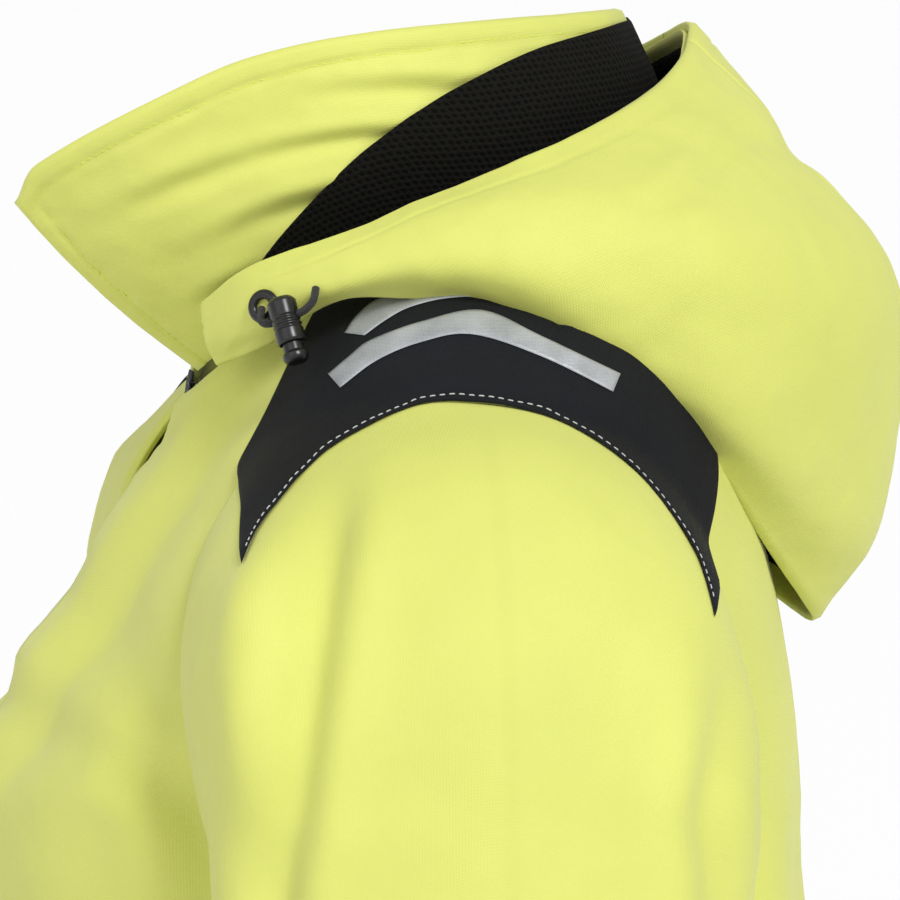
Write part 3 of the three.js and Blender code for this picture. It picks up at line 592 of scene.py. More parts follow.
def shellPiece(name, surface, us, vs, wall, relief=None, closed=False, roll=2.2, keep=None, flip=False):
    """A closed layer of cloth over a grid of a surface, with rolled edges. Sizes in millimetres."""
    us, vs = np.asarray(us, float), np.asarray(vs, float)
    U, V = np.meshgrid(us, vs, indexing="ij")
    P = surface(U, V)
    N = normalsOf(surface, U, V) * (-1 if flip else 1)
    along = lengthAlong(P, 0)
    across = lengthAlong(P, 1)
    grid = {"U": U, "V": V, "P": P, "N": N}
    grid["u0"], grid["u1"] = (along, along[-1:] - along) if not closed else (along * 0 + 99, along * 0 + 99)
    grid["v0"], grid["v1"] = across, across[:, -1:] - across
    rise = relief(grid) if relief else 0
    edge = np.minimum.reduce([grid["u0"], grid["u1"], grid["v0"], grid["v1"]])
    near = np.clip(1 - edge / roll, 0, 1)
    round_ = roll * (1 - np.sqrt(np.maximum(0, 1 - near**2)))
    round_ = np.minimum(round_, wall * 0.46)
    outer = P + N * (rise - round_)[..., None]
    inner = P + N * (rise - wall + round_)[..., None]
    nu, nv = U.shape
    cells = np.ones((nu if closed else nu - 1, nv - 1), bool)
    if keep is not None:
        middle = P[:-1, :-1] if not closed else P[:, :-1]
        cells &= keep(middle)
    points = np.concatenate([outer.reshape(-1, 3), inner.reshape(-1, 3)]) * mm
    faces = outward(points, gridFaces(cells, closed, nu * nv))
    uv = np.stack([along.ravel(), across.ravel()], 1) * mm
    piece = addMesh(name, points, faces.tolist(), np.concatenate([uv, uv]))
    if keep is not None:
        dropLoose(piece)
    grid["outer"] = outer
    return piece, grid


def dropLoose(piece):
    bpy.ops.object.select_all(action="DESELECT")
    piece.select_set(True)
    bpy.context.view_layer.objects.active = piece
    bpy.ops.object.mode_set(mode="EDIT")
    bpy.ops.mesh.select_all(action="SELECT")
    bpy.ops.mesh.delete_loose(use_verts=True, use_edges=True, use_faces=False)
    bpy.ops.object.mode_set(mode="OBJECT")


def tubePiece(name, path, radius, sides=14, closedEnds=True):
    """A round tube along points in metres."""
    path = np.asarray(path, float)
    tangent = np.gradient(path, axis=0)
    tangent /= np.linalg.norm(tangent, axis=1)[:, None]
    side = np.cross(tangent[0], [0.3, 0.2, 0.9])
    frames = []
    for t in tangent:
        side = side - t * (side @ t)
        side /= np.linalg.norm(side)
        frames.append((side.copy(), np.cross(t, side)))
    points, uv = [], []
    run = np.concatenate([[0], np.cumsum(np.linalg.norm(np.diff(path, axis=0), axis=1))])
    for p, (a, b), s in zip(path, frames, run):
        for k in range(sides):
            turn = 2 * math.pi * k / sides
            points.append(p + radius * (a * math.cos(turn) + b * math.sin(turn)))
            uv.append((turn * radius, s))
    faces = []
    for i in range(len(path) - 1):
        for k in range(sides):
            n = (k + 1) % sides
            faces.append([i * sides + k, i * sides + n, (i + 1) * sides + n, (i + 1) * sides + k])
    faces.append(list(range(sides))[::-1])
    faces.append([(len(path) - 1) * sides + k for k in range(sides)])
    return addMesh(name, points, faces, uv)


def smoothPath(points, count):
    points = np.asarray(points, float)
    table = points.tolist()
    n = len(table)
    out = []
    for value in np.linspace(0, n - 1, count):
        i = min(int(value), n - 2)
        t = value - i
        p0, p1, p2, p3 = (points[max(i - 1, 0)], points[i], points[i + 1], points[min(i + 2, n - 1)])
        out.append(
            0.5 * (2 * p1 + (p2 - p0) * t + (2 * p0 - 5 * p1 + 4 * p2 - p3) * t**2 + (3 * p1 - p0 - 3 * p2 + p3) * t**3)
        )
    return np.array(out)


# ---- drawcords: they leave an eyelet, pass through a lock and go back in ----
cords = {
    "radius": 1.5,
    "hood": [
        (117.54, -73.71, 6.29), (119.03, -74.12, 5.01), (120.51, -74.52, 3.73), (122.61, -74.63, 2.31),
        (124.89, -73.95, 1.44), (127.01, -72.57, 1.26), (128.65, -70.71, 1.8), (131.46, -66.37, 3.68),
        (134.26, -62.03, 5.57), (135.17, -59.97, 6.73), (135.2, -58.02, 8.36), (134.35, -56.49, 10.19),
        (132.76, -55.59, 11.95), (131.28, -55.19, 13.23), (129.8, -54.78, 14.51),
    ],
    "hem": [
        (192.95, -87.54, -743.48), (193.96, -87.91, -745.17), (194.96, -88.28, -746.86), (196.38, -88.27, -748.96),
        (197.93, -87.34, -750.75), (199.36, -85.62, -751.94), (200.46, -83.37, -752.35), (202.36, -78.21, -752.35),
        (204.25, -73.05, -752.35), (204.86, -70.62, -751.94), (204.88, -68.38, -750.75), (204.3, -66.67, -748.96),
        (203.22, -65.75, -746.86), (202.22, -65.38, -745.17), (201.21, -65.01, -743.48),
    ],
}


def makeCords():
    for place, bodyName in (("hood", "hood"), ("hem", "root")):
        for side, sign in sides.items():
            points = np.array(cords[place]) * [sign * mm, mm, mm]
            path = smoothPath(points, 71)
            piece = tubePiece(f"{place}Cord.{side}", path, cords["radius"] * mm)
            finish(piece, "elastic_cord", [f"{place}_cord_{side}"], bodyName)


makeCords()


# ---- where cloth crosses a joint, in metres ----
def armBlend(side):
    sign = sides[side]
    start = (0.205 * sign, -0.006, -0.258)
    return {"from": "root", "to": f"upper_sleeve_{side}", "start": start, "end": (0.315 * sign, -0.006, -0.35)}


def elbowBlend(side):
    sign = sides[side]
    top = (0.27 * sign, -0.02, -0.47)
    return {"from": f"upper_sleeve_{side}", "to": f"forearm_{side}", "start": top, "end": (0.275 * sign, -0.03, -0.57)}


throatBlend = {"from": "root", "to": "hood", "start": (0, -0.098, -0.02), "end": (0, -0.05, 0.02)}

# ---- body ----
bodyLook = {"wall": 4.5, "step": 5.0, "hemTurn": 22, "edgeStitch": 7}
chestCreases = [
    # y and z of each crease, then depth, width and bank
    ([(-172, -167), (-152, -159), (-141, -156), (-127, -159), (-112, -168), (-98, -190)], 6.5, 8, 2.6),
    ([(-133, -92), (-128, -125), (-117, -150), (-106, -175), (-97, -212), (-92, -250)], 8.0, 12, 2.5),
    ([(-112, -46), (-119, -76), (-131, -112)], 4.0, 8, 1.6),
    ([(-170, -230), (-140, -262), (-112, -270)], 3.0, 14, 1.5),
    ([(-180, -330), (-120, -345), (-60, -320)], 3.5, 20, 2),
    ([(-150, -440), (-80, -420), (-10, -450)], 4.0, 22, 2),
    ([(-140, -610), (-60, -590), (20, -625)], 3.0, 24, 2),
]
backCreases = [
    ([(92, -100), (104, -150), (98, -210), (84, -262)], 7.0, 13, 2.5),
    ([(128, -190), (150, -230), (140, -300)], 3.5, 16, 2),
    ([(60, -360), (110, -372), (150, -350)], 4.5, 22, 2),
    ([(40, -470), (100, -492), (150, -470)], 4.5, 22, 2),
    ([(60, -620), (110, -600), (150, -640)], 3.0, 24, 2),
]


def bodyRelief(grid):
    P = grid["P"]
    rise = 2.2 * wrinkles(P, 120, 1, (1, 1, 0.6)) + 0.8 * wrinkles(P, 34, 2) + 0.25 * wrinkles(P, 12, 3)
    rise += creases(P, chestCreases, 1) + creases(P, chestCreases, -1) * 0.9
    rise += creases(P, backCreases, 1) + creases(P, backCreases, -1) * 0.9
    edge = grid["v0"] if grid["V"].min() < 1 else grid["v1"]
    quiet = smooth(P[..., 2], -205, -150)  # little near the neck, where other pieces lie on it
    rise *= 1 - 0.45 * quiet
    if grid["V"].min() < 1 or grid["V"].max() > 31:  # the front edge is padded and stands proud of the zip
        proud = 9.5 + 5 * hump(P[..., 2], -105, 42) if grid["V"].min() < 1 else 5.5 - 5.5 * quiet
        rise += proud * smooth(edge, 0, 12) * (1 - smooth(edge, 32, 80)) * smooth(grid["U"], 0, 0.6)
    if grid["V"].max() > 31:  # the right shoulder hangs a little lower
        low = smooth(grid["V"], 21, 25) * (1 - smooth(grid["V"], 29.3, 31.2))
        rise -= 12 * quiet * smooth(grid["U"], 0.2, 1.2) * low * (1 - smooth(grid["U"], 4, 5.5))
    hem = grid["u1"]
    rise -= 0.9 * hump(hem, bodyLook["hemTurn"], 2.0)
    rise += 0.7 * wrinkles(P, 9, 4, (1, 1, 0.25)) * hump(hem, bodyLook["hemTurn"], 14)
    side = np.minimum(grid["v0"], grid["v1"])
    rise -= 0.7 * hump(side, bodyLook["edgeStitch"], 1.6)
    rise += 0.6 * wrinkles(P, 8, 5) * hump(side, bodyLook["edgeStitch"], 9)
    return rise


def armOpen(points):  # False inside the armhole, where the sleeve takes over
    hole = body["armhole"]
    inside = ((points[..., 1] - hole["y"]) / (hole["ry"] - 15)) ** 2 + (
        (points[..., 2] - hole["z"]) / (hole["rz"] - 15)
    ) ** 2 < 1
    return ~(inside & (np.abs(points[..., 0]) > 120))


def sectionRows(count, last=10.0):  # body sections about equally far apart in height
    share = np.linspace(0, 1, count)
    heights = np.array([31, 40, 60, 72, 66, 76, 85, 110, 120, 130, 130.0])
    run = np.concatenate([[0], np.cumsum(heights[:10])])
    return np.interp(share * np.interp(last, range(11), run), run, range(11))


def makeBody():
    rows = sectionRows(190)
    made = {}
    for side, sign in sides.items():
        us = np.linspace(0, 10, 74) if sign > 0 else np.linspace(22, 32, 74)
        name = f"frontPanel.{side}"
        piece, grid = shellPiece(name, bodyPoint, rows, us, 4.5, bodyRelief, keep=armOpen)
        finish(piece, "shell", [f"front_panel_{side}"], "root")
        made[side] = (piece, grid)
    piece, grid = shellPiece("backPanel", bodyPoint, rows, np.linspace(10, 22, 130), 4.5, bodyRelief, keep=armOpen)
    finish(piece, "shell", ["back_panel"], "root")
    made["back"] = (piece, grid)

    def liningRelief(grid):
        P = grid["P"]
        follow = creases(P, chestCreases, 1) + creases(P, chestCreases, -1)
        follow += creases(P, backCreases, 1) + creases(P, backCreases, -1)
        low = smooth(grid["V"], 21, 24) * smooth(P[..., 2], -250, -150)
        return -8.2 + 0.6 * wrinkles(P, 60, 7) + follow - 13 * low

    piece, _ = shellPiece(
        "bodyLining", bodyPoint, sectionRows(80, 9.96)[2:], np.linspace(0.1, 31.9, 150), 1.4, liningRelief, keep=armOpen
    )
    finish(piece, "lining", ["body_lining"], "root")
    return made


bodyMade = makeBody()
print("body made")

# ---- sleeves ----
sleeveLook = {"rows": 110, "around": 120}
sleeveCreases = [
    ([(-56, -34), (-63, -60), (-70, -87), (-76, -121), (-82, -155), (-88, -189), (-91, -255)], 10.0, 8, 4.0),
    ([(80, -110), (76, -141), (71, -163), (74, -195), (70, -240)], 6.0, 9, 2.4),
    ([(-95, -85), (-101, -120), (-100, -160), (-94, -205)], 5.0, 9, 1.5),
    ([(-60, -270), (-20, -292), (30, -285)], 3.0, 16, 1.5),
    ([(-90, -380), (-50, -398), (0, -390)], 4.0, 13, 2.0),
    ([(-92, -432), (-60, -446), (-10, -440)], 5.0, 12, 2.5),
    ([(-94, -478), (-64, -484), (-20, -474)], 5.0, 12, 2.5),
    ([(-92, -520), (-70, -518), (-34, -506)], 3.5, 12, 2.0),
    ([(20, -420), (44, -445), (50, -480)], 3.0, 14, 1.5),
    ([(-80, -600), (-50, -612), (0, -600)], 2.5, 12, 1.5),
]


def sleeveRelief(sign, seed):
    def relief(grid):
        P = grid["P"]
        rise = 2.0 * wrinkles(P, 90, seed, (1, 1, 0.5)) + 0.7 * wrinkles(P, 30, seed + 1)
        rise += 0.22 * wrinkles(P, 11, seed + 2)
        inner = smooth(P[..., 0], 240, 205)
        for y, z, lift, size in ((-106, -122, 12, 34), (-97, -86, 8, 24)):  # the full front of the cap
            rise += lift * hump(np.hypot(P[..., 1] - y, P[..., 2] - z), 0, size)
        rise += creases(P, sleeveCreases, 1) * (1 - 0.6 * inner)
        top = 1 - smooth(grid["V"], 0.0, 1.6)
        return rise * (1 - 0.6 * top)

    return relief


def mirrored(surface):
    def other(u, v):
        return surface(u, v) * [-1, 1, 1]

    return other


def makeSleeves():
    turns = np.linspace(0, 360, sleeveLook["around"] + 1)[:-1]
    made = {}
    for side, sign in sides.items():
        surface = sleevePoint if sign > 0 else (lambda u, v: sleevePoint(-u, v) * [-1, 1, 1])
        around = turns
        relief = sleeveRelief(sign, 20 if sign > 0 else 31)
        if sign < 0:
            base = relief

            def relief(grid, base=base):
                flipped = dict(grid)
                flipped["P"] = grid["P"] * [-1, 1, 1]
                return base(flipped)

        piece, grid = shellPiece(
            f"upperSleeve.{side}", surface, around, np.linspace(-0.9, 6, sleeveLook["rows"]), 4.5, relief, closed=True
        )
        finish(piece, "shell", [f"upper_sleeve_{side}"], blend=armBlend(side))
        made[side] = (piece, grid)
        piece, grid = shellPiece(
            f"forearmSleeve.{side}", surface, around, np.linspace(6, 8, 52), 4.5, relief, closed=True
        )
        finish(piece, "shell", [f"forearm_sleeve_{side}"], blend=elbowBlend(side))
        piece, _ = shellPiece(
            f"cuffBinding.{side}", surface, around, np.linspace(7.78, 8.02, 9), 1.6,
            lambda grid: 2.1 + 0.3 * wrinkles(grid["P"], 12, 44), closed=True, roll=1.2,
        )
        finish(piece, "yoke_fabric", [f"cuff_binding_{side}"], f"forearm_{side}")

        def wristCuff(u, v, surface=surface, sign=sign):
            t = np.clip((v - 7.1) / 0.9, 0, 1)
            row = sleeveRow(v)
            axis = np.stack([(row[..., 0] + row[..., 2]) / 2 * sign, row[..., 5], row[..., 1]], -1)
            squeeze = (1 - 0.36 * t * t * (3 - 2 * t))[..., None]
            return axis + (surface(u, v) - axis) * squeeze

        ribs = lambda grid: -5.4 + 0.55 * np.cos(np.radians(grid["U"]) * 60)
        piece, _ = shellPiece(
            f"stormCuff.{side}", wristCuff, np.linspace(0, 360, 361)[:-1], np.linspace(7.1, 8.04, 14), 2.0, ribs, closed=True,
            roll=1.0,
        )
        finish(piece, "rib_knit", [f"storm_cuff_{side}"], f"forearm_{side}")
        tab = lambda grid: 3.0 - 0.5 * hump(np.minimum.reduce([grid["v0"], grid["v1"], grid["u0"], grid["u1"]]), 3, 0.9)
        piece, _ = shellPiece(
            f"cuffTab.{side}", surface, np.sort(np.linspace(-75, 30, 60) * sign), np.linspace(7.42, 7.68, 22), 2.2, tab, roll=1.1
        )
        finish(piece, "yoke_fabric", [f"cuff_tab_{side}"], f"cuff_tab_{side}")
    return made


sleevesMade = makeSleeves()
print("sleeves made")


# ---- things laid over the panels and sleeves ----
def treeOf(*pieces):
    points, faces = [], []
    for piece in pieces:
        start = len(points)
        points += [v.co.copy() for v in piece.data.vertices]
        faces += [[start + i for i in f.vertices] for f in piece.data.polygons]
    return BVHTree.FromPolygons(points, faces)


def seenFromSide(tree, outline, sign, reach=0.45):
    """Where a line across the wearer at y, z (millimetres) first meets the cloth."""
    out = []
    for y, z in outline:
        hit = None
        drop = 0
        while hit is None and drop < 30:
            origin = Vector((sign * reach, y * mm, (z - drop) * mm))
            hit, normal, _, _ = tree.ray_cast(origin, Vector((-sign, 0, 0)))
            drop += 1
        out.append(list(hit / mm) if hit is not None else [sign * 150, y, z])
    return np.array(out)


def curveThrough(points, count):  # even steps along a smooth line
    dense = smoothPath(points, 400)
    run = np.concatenate([[0], np.cumsum(np.linalg.norm(np.diff(dense, axis=0), axis=1))])
    at = np.linspace(0, run[-1], count)
    return np.stack([np.interp(at, run, dense[:, k]) for k in range(dense.shape[1])], 1)


def layerOver(name, tree, yz, sign, wall, lift, relief=None, roll=1.0, soften=2):
    """A thin layer that lies on what is under it. yz is a grid of y, z in millimetres."""
    nu, nv = yz.shape[:2]
    P = seenFromSide(tree, yz.reshape(-1, 2), sign).reshape(nu, nv, 3)
    for _ in range(soften):
        inner = (P[:-2, 1:-1] + P[2:, 1:-1] + P[1:-1, :-2] + P[1:-1, 2:]) / 4
        P[1:-1, 1:-1] = P[1:-1, 1:-1] * 0.5 + inner * 0.5
        for row in (P[:, 0], P[:, -1], P[0], P[-1]):
            row[1:-1] = (row[:-2] + 2 * row[1:-1] + row[2:]) / 4
    du, dv = np.gradient(P, axis=0), np.gradient(P, axis=1)
    N = np.cross(du, dv)
    N /= np.maximum(np.linalg.norm(N, axis=-1)[..., None], 1e-9)
    if (N[..., 0] * sign).mean() < 0:
        N = -N
    along, across = lengthAlong(P, 0), lengthAlong(P, 1)
    grid = {"P": P, "N": N, "u0": along, "u1": along[-1:] - along, "v0": across, "v1": across[:, -1:] - across}
    rise = lift + wall + (relief(grid) if relief else 0)
    edge = np.minimum.reduce([grid["u0"], grid["u1"], grid["v0"], grid["v1"]])
    near = np.clip(1 - edge / roll, 0, 1)
    round_ = np.minimum(roll * (1 - np.sqrt(np.maximum(0, 1 - near**2))), wall * 0.46)
    outer, inner = P + N * (rise - round_)[..., None], P + N * (rise - wall + round_)[..., None]
    points = np.concatenate([outer.reshape(-1, 3), inner.reshape(-1, 3)]) * mm
    faces = outward(points, gridFaces(np.ones((nu - 1, nv - 1), bool), False, nu * nv))
    uv = np.stack([along.ravel(), across.ravel()], 1) * mm
    grid["outer"] = outer
    return addMesh(name, points, faces.tolist(), np.concatenate([uv, uv])), grid


def stitches(name, line, normals, pitch=3.6, share=0.68, radius=0.3, sink=0.1):
    """Short threads end to end along a line, in millimetres."""
    line, normals = np.asarray(line, float), np.asarray(normals, float)
    run = np.concatenate([[0], np.cumsum(np.linalg.norm(np.diff(line, axis=0), axis=1))])
    count = max(1, int(run[-1] / pitch))
    rings, ringSize = [(-0.5, 0.35), (-0.3, 1.0), (0.3, 1.0), (0.5, 0.35)], 6
    points, faces = [], []
    at = lambda table, s: np.array([np.interp(s, run, table[:, k]) for k in range(3)])
    for n in range(count):
        s = (n + 0.5) * run[-1] / count
        middle, up = at(line, s), at(normals, s)
        along = at(line, min(s + 0.8, run[-1])) - at(line, max(s - 0.8, 0))
        along /= max(np.linalg.norm(along), 1e-9)
        up = up - along * (up @ along)
        up /= max(np.linalg.norm(up), 1e-9)
        across = np.cross(along, up)
        start = len(points)
        for where, size in rings:
            centre = middle + along * where * pitch * share + up * (radius * 0.5 - sink - (0.25 if size < 1 else 0))
            for k in range(ringSize):
                turn = 2 * math.pi * k / ringSize
                points.append(centre + radius * size * (across * math.cos(turn) + up * math.sin(turn)))
        for r in range(3):
            for k in range(ringSize):
                m = (k + 1) % ringSize
                a, b = start + r * ringSize, start + (r + 1) * ringSize
                faces.append([a + k, a + m, b + m, b + k])
        faces.append([start + k for k in range(ringSize)][::-1])
        faces.append([start + 3 * ringSize + k for k in range(ringSize)])
    piece = addMesh(name, np.array(points) * mm, faces, np.array(points)[:, :2] * mm)
    fixNormals(piece)
    return piece


def fixNormals(piece):
    bpy.ops.object.select_all(action="DESELECT")
    piece.select_set(True)
    bpy.context.view_layer.objects.active = piece
    bpy.ops.object.mode_set(mode="EDIT")
    bpy.ops.mesh.select_all(action="SELECT")
    bpy.ops.mesh.normals_make_consistent(inside=False)
    bpy.ops.object.mode_set(mode="OBJECT")


yoke = {
    # y, z seen from the side, from the front tip to the back tip
    "lower": [(-93, -77), (-80, -61), (-57, -40), (-30, -27), (-8, -24), (26, -30), (55, -49), (72, -75), (76, -97)],
    "front": [(-93, -77), (-87, -62), (-76, -42), (-64, -22), (-54, -4), (-44, 11)],
    "upper": [(-44, 11), (-28, 20), (-10, 26), (12, 28), (36, 28), (58, 25)],
    "back": [(76, -97), (87, -82), (94, -64), (96, -48), (88, -20), (72, 10), (58, 25)],
    "rightBack": 11,  # the right one's front end sits further back, as worn
    "wall": 1.3,
    "stitchIn": 3.4,
}
strips = {
    "long_strip": {
        "upper": [(-51, -17), (-43, -10), (-35, -4), (-17, 3), (5, 7), (26, -2), (55, -16)],
        "lower": [(-48, -21), (-35, -11), (-19, -4), (0, -1), (25, -9), (51, -22)],
        "lift": 1.5,
    },
    "short_strip": {
        "upper": [(-43, -3), (-38, 3), (-30, 9), (-17, 13), (-6, 14.5), (8, 14)],
        "lower": [(-37, -3), (-30, 2), (-22, 6.5), (-13, 9.5), (-4, 11), (8, 11.5)],
        "lift": 1.5,
    },
}


def coons(bottom, top, left, right, nu, nv):  # a grid between four edges
    b, t = curveThrough(bottom, nu), curveThrough(top, nu)
    l, r = curveThrough(left, nv), curveThrough(right, nv)
    u, v = np.linspace(0, 1, nu)[:, None, None], np.linspace(0, 1, nv)[None, :, None]
    grid = (1 - v) * b[:, None] + v * t[:, None] + (1 - u) * l[None] + u * r[None]
    corner = (1 - u) * (1 - v) * b[0] + u * (1 - v) * b[-1] + (1 - u) * v * t[0] + u * v * t[-1]
    return grid - corner


def makeYokes():
    made = {}
    for side, sign in sides.items():
        tree = treeOf(bodyMade[side][0], bodyMade["back"][0], sleevesMade[side][0])
        yz = coons(yoke["lower"], yoke["upper"], yoke["front"], yoke["back"], 150, 56)
        if sign < 0:
            yz[..., 0] += yoke["rightBack"] * (1 - smooth(yz[..., 0], -95, -45))
        pucker = lambda grid: 0.35 * wrinkles(grid["P"], 26, 51) + 0.35 * wrinkles(grid["P"], 7, 52) * hump(
            grid["v0"], yoke["stitchIn"], 5
        ) - 0.35 * hump(grid["v0"], yoke["stitchIn"], 1.2)
        piece, grid = layerOver(f"shoulderYoke.{side}", tree, yz, sign, yoke["wall"], 0.3, pucker, roll=1.0, soften=6)
        finish(piece, "yoke_fabric", [f"shoulder_yoke_{side}"], "root")
        made[side] = (piece, grid)
        line, normals = [], []
        for i in range(3, grid["outer"].shape[0] - 3):
            row = grid["v0"][i]
            line.append([np.interp(yoke["stitchIn"], row, grid["outer"][i, :, k]) for k in range(3)])
            normals.append(grid["N"][i, 2])
        thread = stitches(f"yokeStitches.{side}", line, normals)
        finish(thread, "yoke_fabric", (), "root", material="paleThread")
        top = treeOf(piece)
        for name, facts in strips.items():
            upper, lower = curveThrough(facts["upper"], 70), curveThrough(facts["lower"], 70)
            v = np.linspace(0, 1, 9)[None, :, None]
            yz = lower[:, None] * (1 - v) + upper[:, None] * v
            strip, _ = layerOver(f"reflective_{name}.{side}", top, yz, sign, 0.6, 0.15, roll=0.4, soften=1)
            finish(strip, "reflective_tape", [f"reflective_{name}_{side}"], "root")
    return made


yokesMade = makeYokes()
print("yokes and strips made")

# ---- collar ----
collarLook = {"hem": 10.5, "topHem": 9.0, "folds": 1.0}
collarFolds = [
    # station from, station to, height, width in height, depth
    (6.2, 3.2, 0.30, 0.05, 2.2),
    (5.8, 2.6, 0.52, 0.045, 1.8),
    (4.6, 1.6, 0.70, 0.05, 1.6),
    (7.0, 5.0, 0.62, 0.05, 1.3),
    (6.8, 5.4, 0.16, 0.04, 2.0),
    (3.0, 0.2, 0.45, 0.06, 1.5),
]


def collarRelief(grid):
    P, station, height = grid["P"], -grid["U"], grid["V"]
    rise = 1.3 * wrinkles(P, 60, 61) + 0.5 * wrinkles(P, 22, 62) + 0.2 * wrinkles(P, 9, 63)
    for start, end, level, width, depth in collarFolds:
        for sign in (1, -1):
            s = station * sign
            middle, half = (start + end) / 2, abs(start - end) / 2
            fade = hump(s, middle, half * 0.75)
            tilt = level + 0.04 * (s - middle)
            rise += 1.7 * fade * (-depth * hump(height, tilt, width) + 0.5 * depth * hump(height, tilt + 1.8 * width, width))
    edge = np.minimum(np.minimum(grid["u0"], grid["u1"]), grid["v1"] + 1.5)
    rise -= 0.9 * hump(edge, collarLook["hem"], 1.3)
    rise += 0.45 * wrinkles(P, 7, 64) * hump(edge, collarLook["hem"], 6)
    band = smooth(edge, collarLook["hem"] + 2, collarLook["hem"] - 2)
    return rise * (1 - 0.45 * band) + 0.5 * band


def reversedCollar(station, height):
    return collarPoint(-station, height)


def makeCollar():
    us, vs = np.linspace(-8, 8, 260), np.linspace(0, 1, 56)
    piece, grid = shellPiece("collarShell", reversedCollar, us, vs, 4.5, collarRelief, roll=2.6)
    finish(piece, "shell", ["collar_shell"], "root")
    line, normals = [], []
    outer, N = grid["outer"], grid["N"]
    inset = collarLook["hem"] - 1.5
    for j in range(2, outer.shape[1] - 12):
        i = int(np.argmin(np.abs(grid["u1"][:, j] - inset - 1.5)))
        line.append(outer[i, j])
        normals.append(N[i, j])
    for i in range(outer.shape[0] - 13, 12, -1):
        j = int(np.argmin(np.abs(grid["v1"][i] - inset)))
        line.append(outer[i, j])
        normals.append(N[i, j])
    for j in range(outer.shape[1] - 12, 2, -1):
        i = int(np.argmin(np.abs(grid["u0"][:, j] - inset - 1.5)))
        line.append(outer[i, j])
        normals.append(N[i, j])
    line = smoothLine(np.array(line), 6)
    thread = stitches("collarStitches", line, normals, 3.4, 0.7, 0.26, 0.14)
    finish(thread, "shell", (), "root", material="shellThread")
    lining = lambda grid: -4.9 + 0.5 * wrinkles(grid["P"], 26, 66) * smooth(np.minimum(grid["v0"], grid["v1"]), 0, 20)
    piece, _ = shellPiece(
        "collarLining", reversedCollar, np.linspace(-8, 8, 180), np.linspace(0.02, 0.985, 40), 2.8, lining, roll=1.4
    )
    finish(piece, "knit_lining", ["collar_lining"], "root")


def smoothLine(points, times):
    for _ in range(times):
        points[1:-1] = (points[:-2] + 2 * points[1:-1] + points[2:]) / 4
    return points


knit = {"heights": [[0.94], [0.92], [0.86], [0.7], [0.5], [0.3], [0.16]], "lift": 1.9, "wall": 1.2}


def knitPoint(station, share):
    at = np.minimum(np.abs(station), 6)
    height = rowAt(knit["heights"], at)[..., 0]
    return collarPoint(-station, 0.03 + (height - 0.03) * share)


def makeNeckKnit():
    relief = lambda grid: 2.7 + 0.9 * wrinkles(grid["P"], 40, 71) + 0.4 * wrinkles(grid["P"], 14, 72)
    piece, _ = shellPiece("hoodNeckKnit", knitPoint, np.linspace(-6.5, 6.5, 170), np.linspace(0, 1, 44), 1.2, relief, roll=0.6)
    finish(piece, "knit_lining", ["hood_neck_knit"], "root")


makeCollar()
makeNeckKnit()
print("collar made")

# ---- where the drawcords stand: origin, away from the slit, down the panel and out of it ----
def frameBetween(surface, eyeletAt, slitAt):
    start, end = surface(*map(np.array, eyeletAt)), surface(*map(np.array, slitAt))
    away = (start - end) / np.linalg.norm(start - end)
    middle = [np.array((a + b) / 2) for a, b in zip(eyeletAt, slitAt)]
    out = normalsOf(surface, *middle)
    out = out - away * (out @ away)
    out /= np.linalg.norm(out)
    return start, away, np.cross(out, away), out


framesOf = {
    "hood": frameBetween(hoodPoint, (14.88, 0.52), (14.3, 0.56)),
    "hem": frameBetween(bodyPoint, (9.72, 6.5), (9.72, 7.2)),
}

# ---- hood ----
hoodLook = {"wall": 4.5, "rimHem": 12}
hoodFolds = [
    # from (y, z) points, depth, width, bank
    ([(-78, 2), (-62, -2), (-44, 2), (-24, 12)], 2.6, 7, 1.5),
    ([(-84, -8), (-70, -14), (-52, -8)], 2.4, 6, 1.2),
    ([(-88, -18), (-78, -28), (-72, -44)], 2.6, 6, 1.5),
    ([(134, 65), (112, 66), (87, 50), (60, 36)], 1.6, 5, 0.8),
    ([(70, 10), (110, -10), (150, -50)], 2.0, 16, 1.5),
    ([(60, -20), (90, -50), (118, -90)], 2.6, 14, 1.5),
    ([(20, 30), (60, 12), (96, -16)], 1.8, 14, 1.0),
]


def hoodRelief(grid):
    P = grid["P"]
    station, share = grid["U"], grid["V"]
    at = np.where(station > 8, 16 - station, station)
    back = smooth(at, 3.5, 7)
    rise = 1.6 * wrinkles(P, 70, 81) + 0.6 * wrinkles(P, 26, 82) + 0.2 * wrinkles(P, 10, 83)
    rise *= smooth(at, 0, 1.5) * 0.6 + 0.4
    rise += creases(P, hoodFolds, 1) + creases(P, hoodFolds, -1)
    middle = smooth(at, 6.2, 7.4)
    rise += back * (9 * hump(share, 0.47, 0.13) + 8 * hump(share, 0.87, 0.1))
    rise -= middle * 4 * hump(share, 0.27, 0.04)
    rise *= 1 - hump(grid["P"][..., 0] * 0 + eyeletDistance(P), 0, 13)
    rise += 5 * smooth(at, 1.5, 4) * hump(share, 0.6, 0.3)
    rise -= 0.6 * hump(grid["P"][..., 0] * 0 + rimDistance(grid), hoodLook["rimHem"], 1.2)
    seam = np.abs(at - hood["seamStation"])
    rise -= 1.0 * hump(seam, 0, 0.06) * smooth(share, 0.24, 0.3)
    return rise


def rimDistance(grid):  # how far a point is from the hood's rim, in millimetres
    return np.linalg.norm(grid["P"] - hoodPoint(grid["U"], np.zeros_like(grid["V"])), axis=-1)


def eyeletDistance(points):
    near = [np.linalg.norm(points - np.array(framesOf["hood"][0]) * [sign, 1, 1], axis=-1) for sign in (1, -1)]
    return np.minimum(*near)


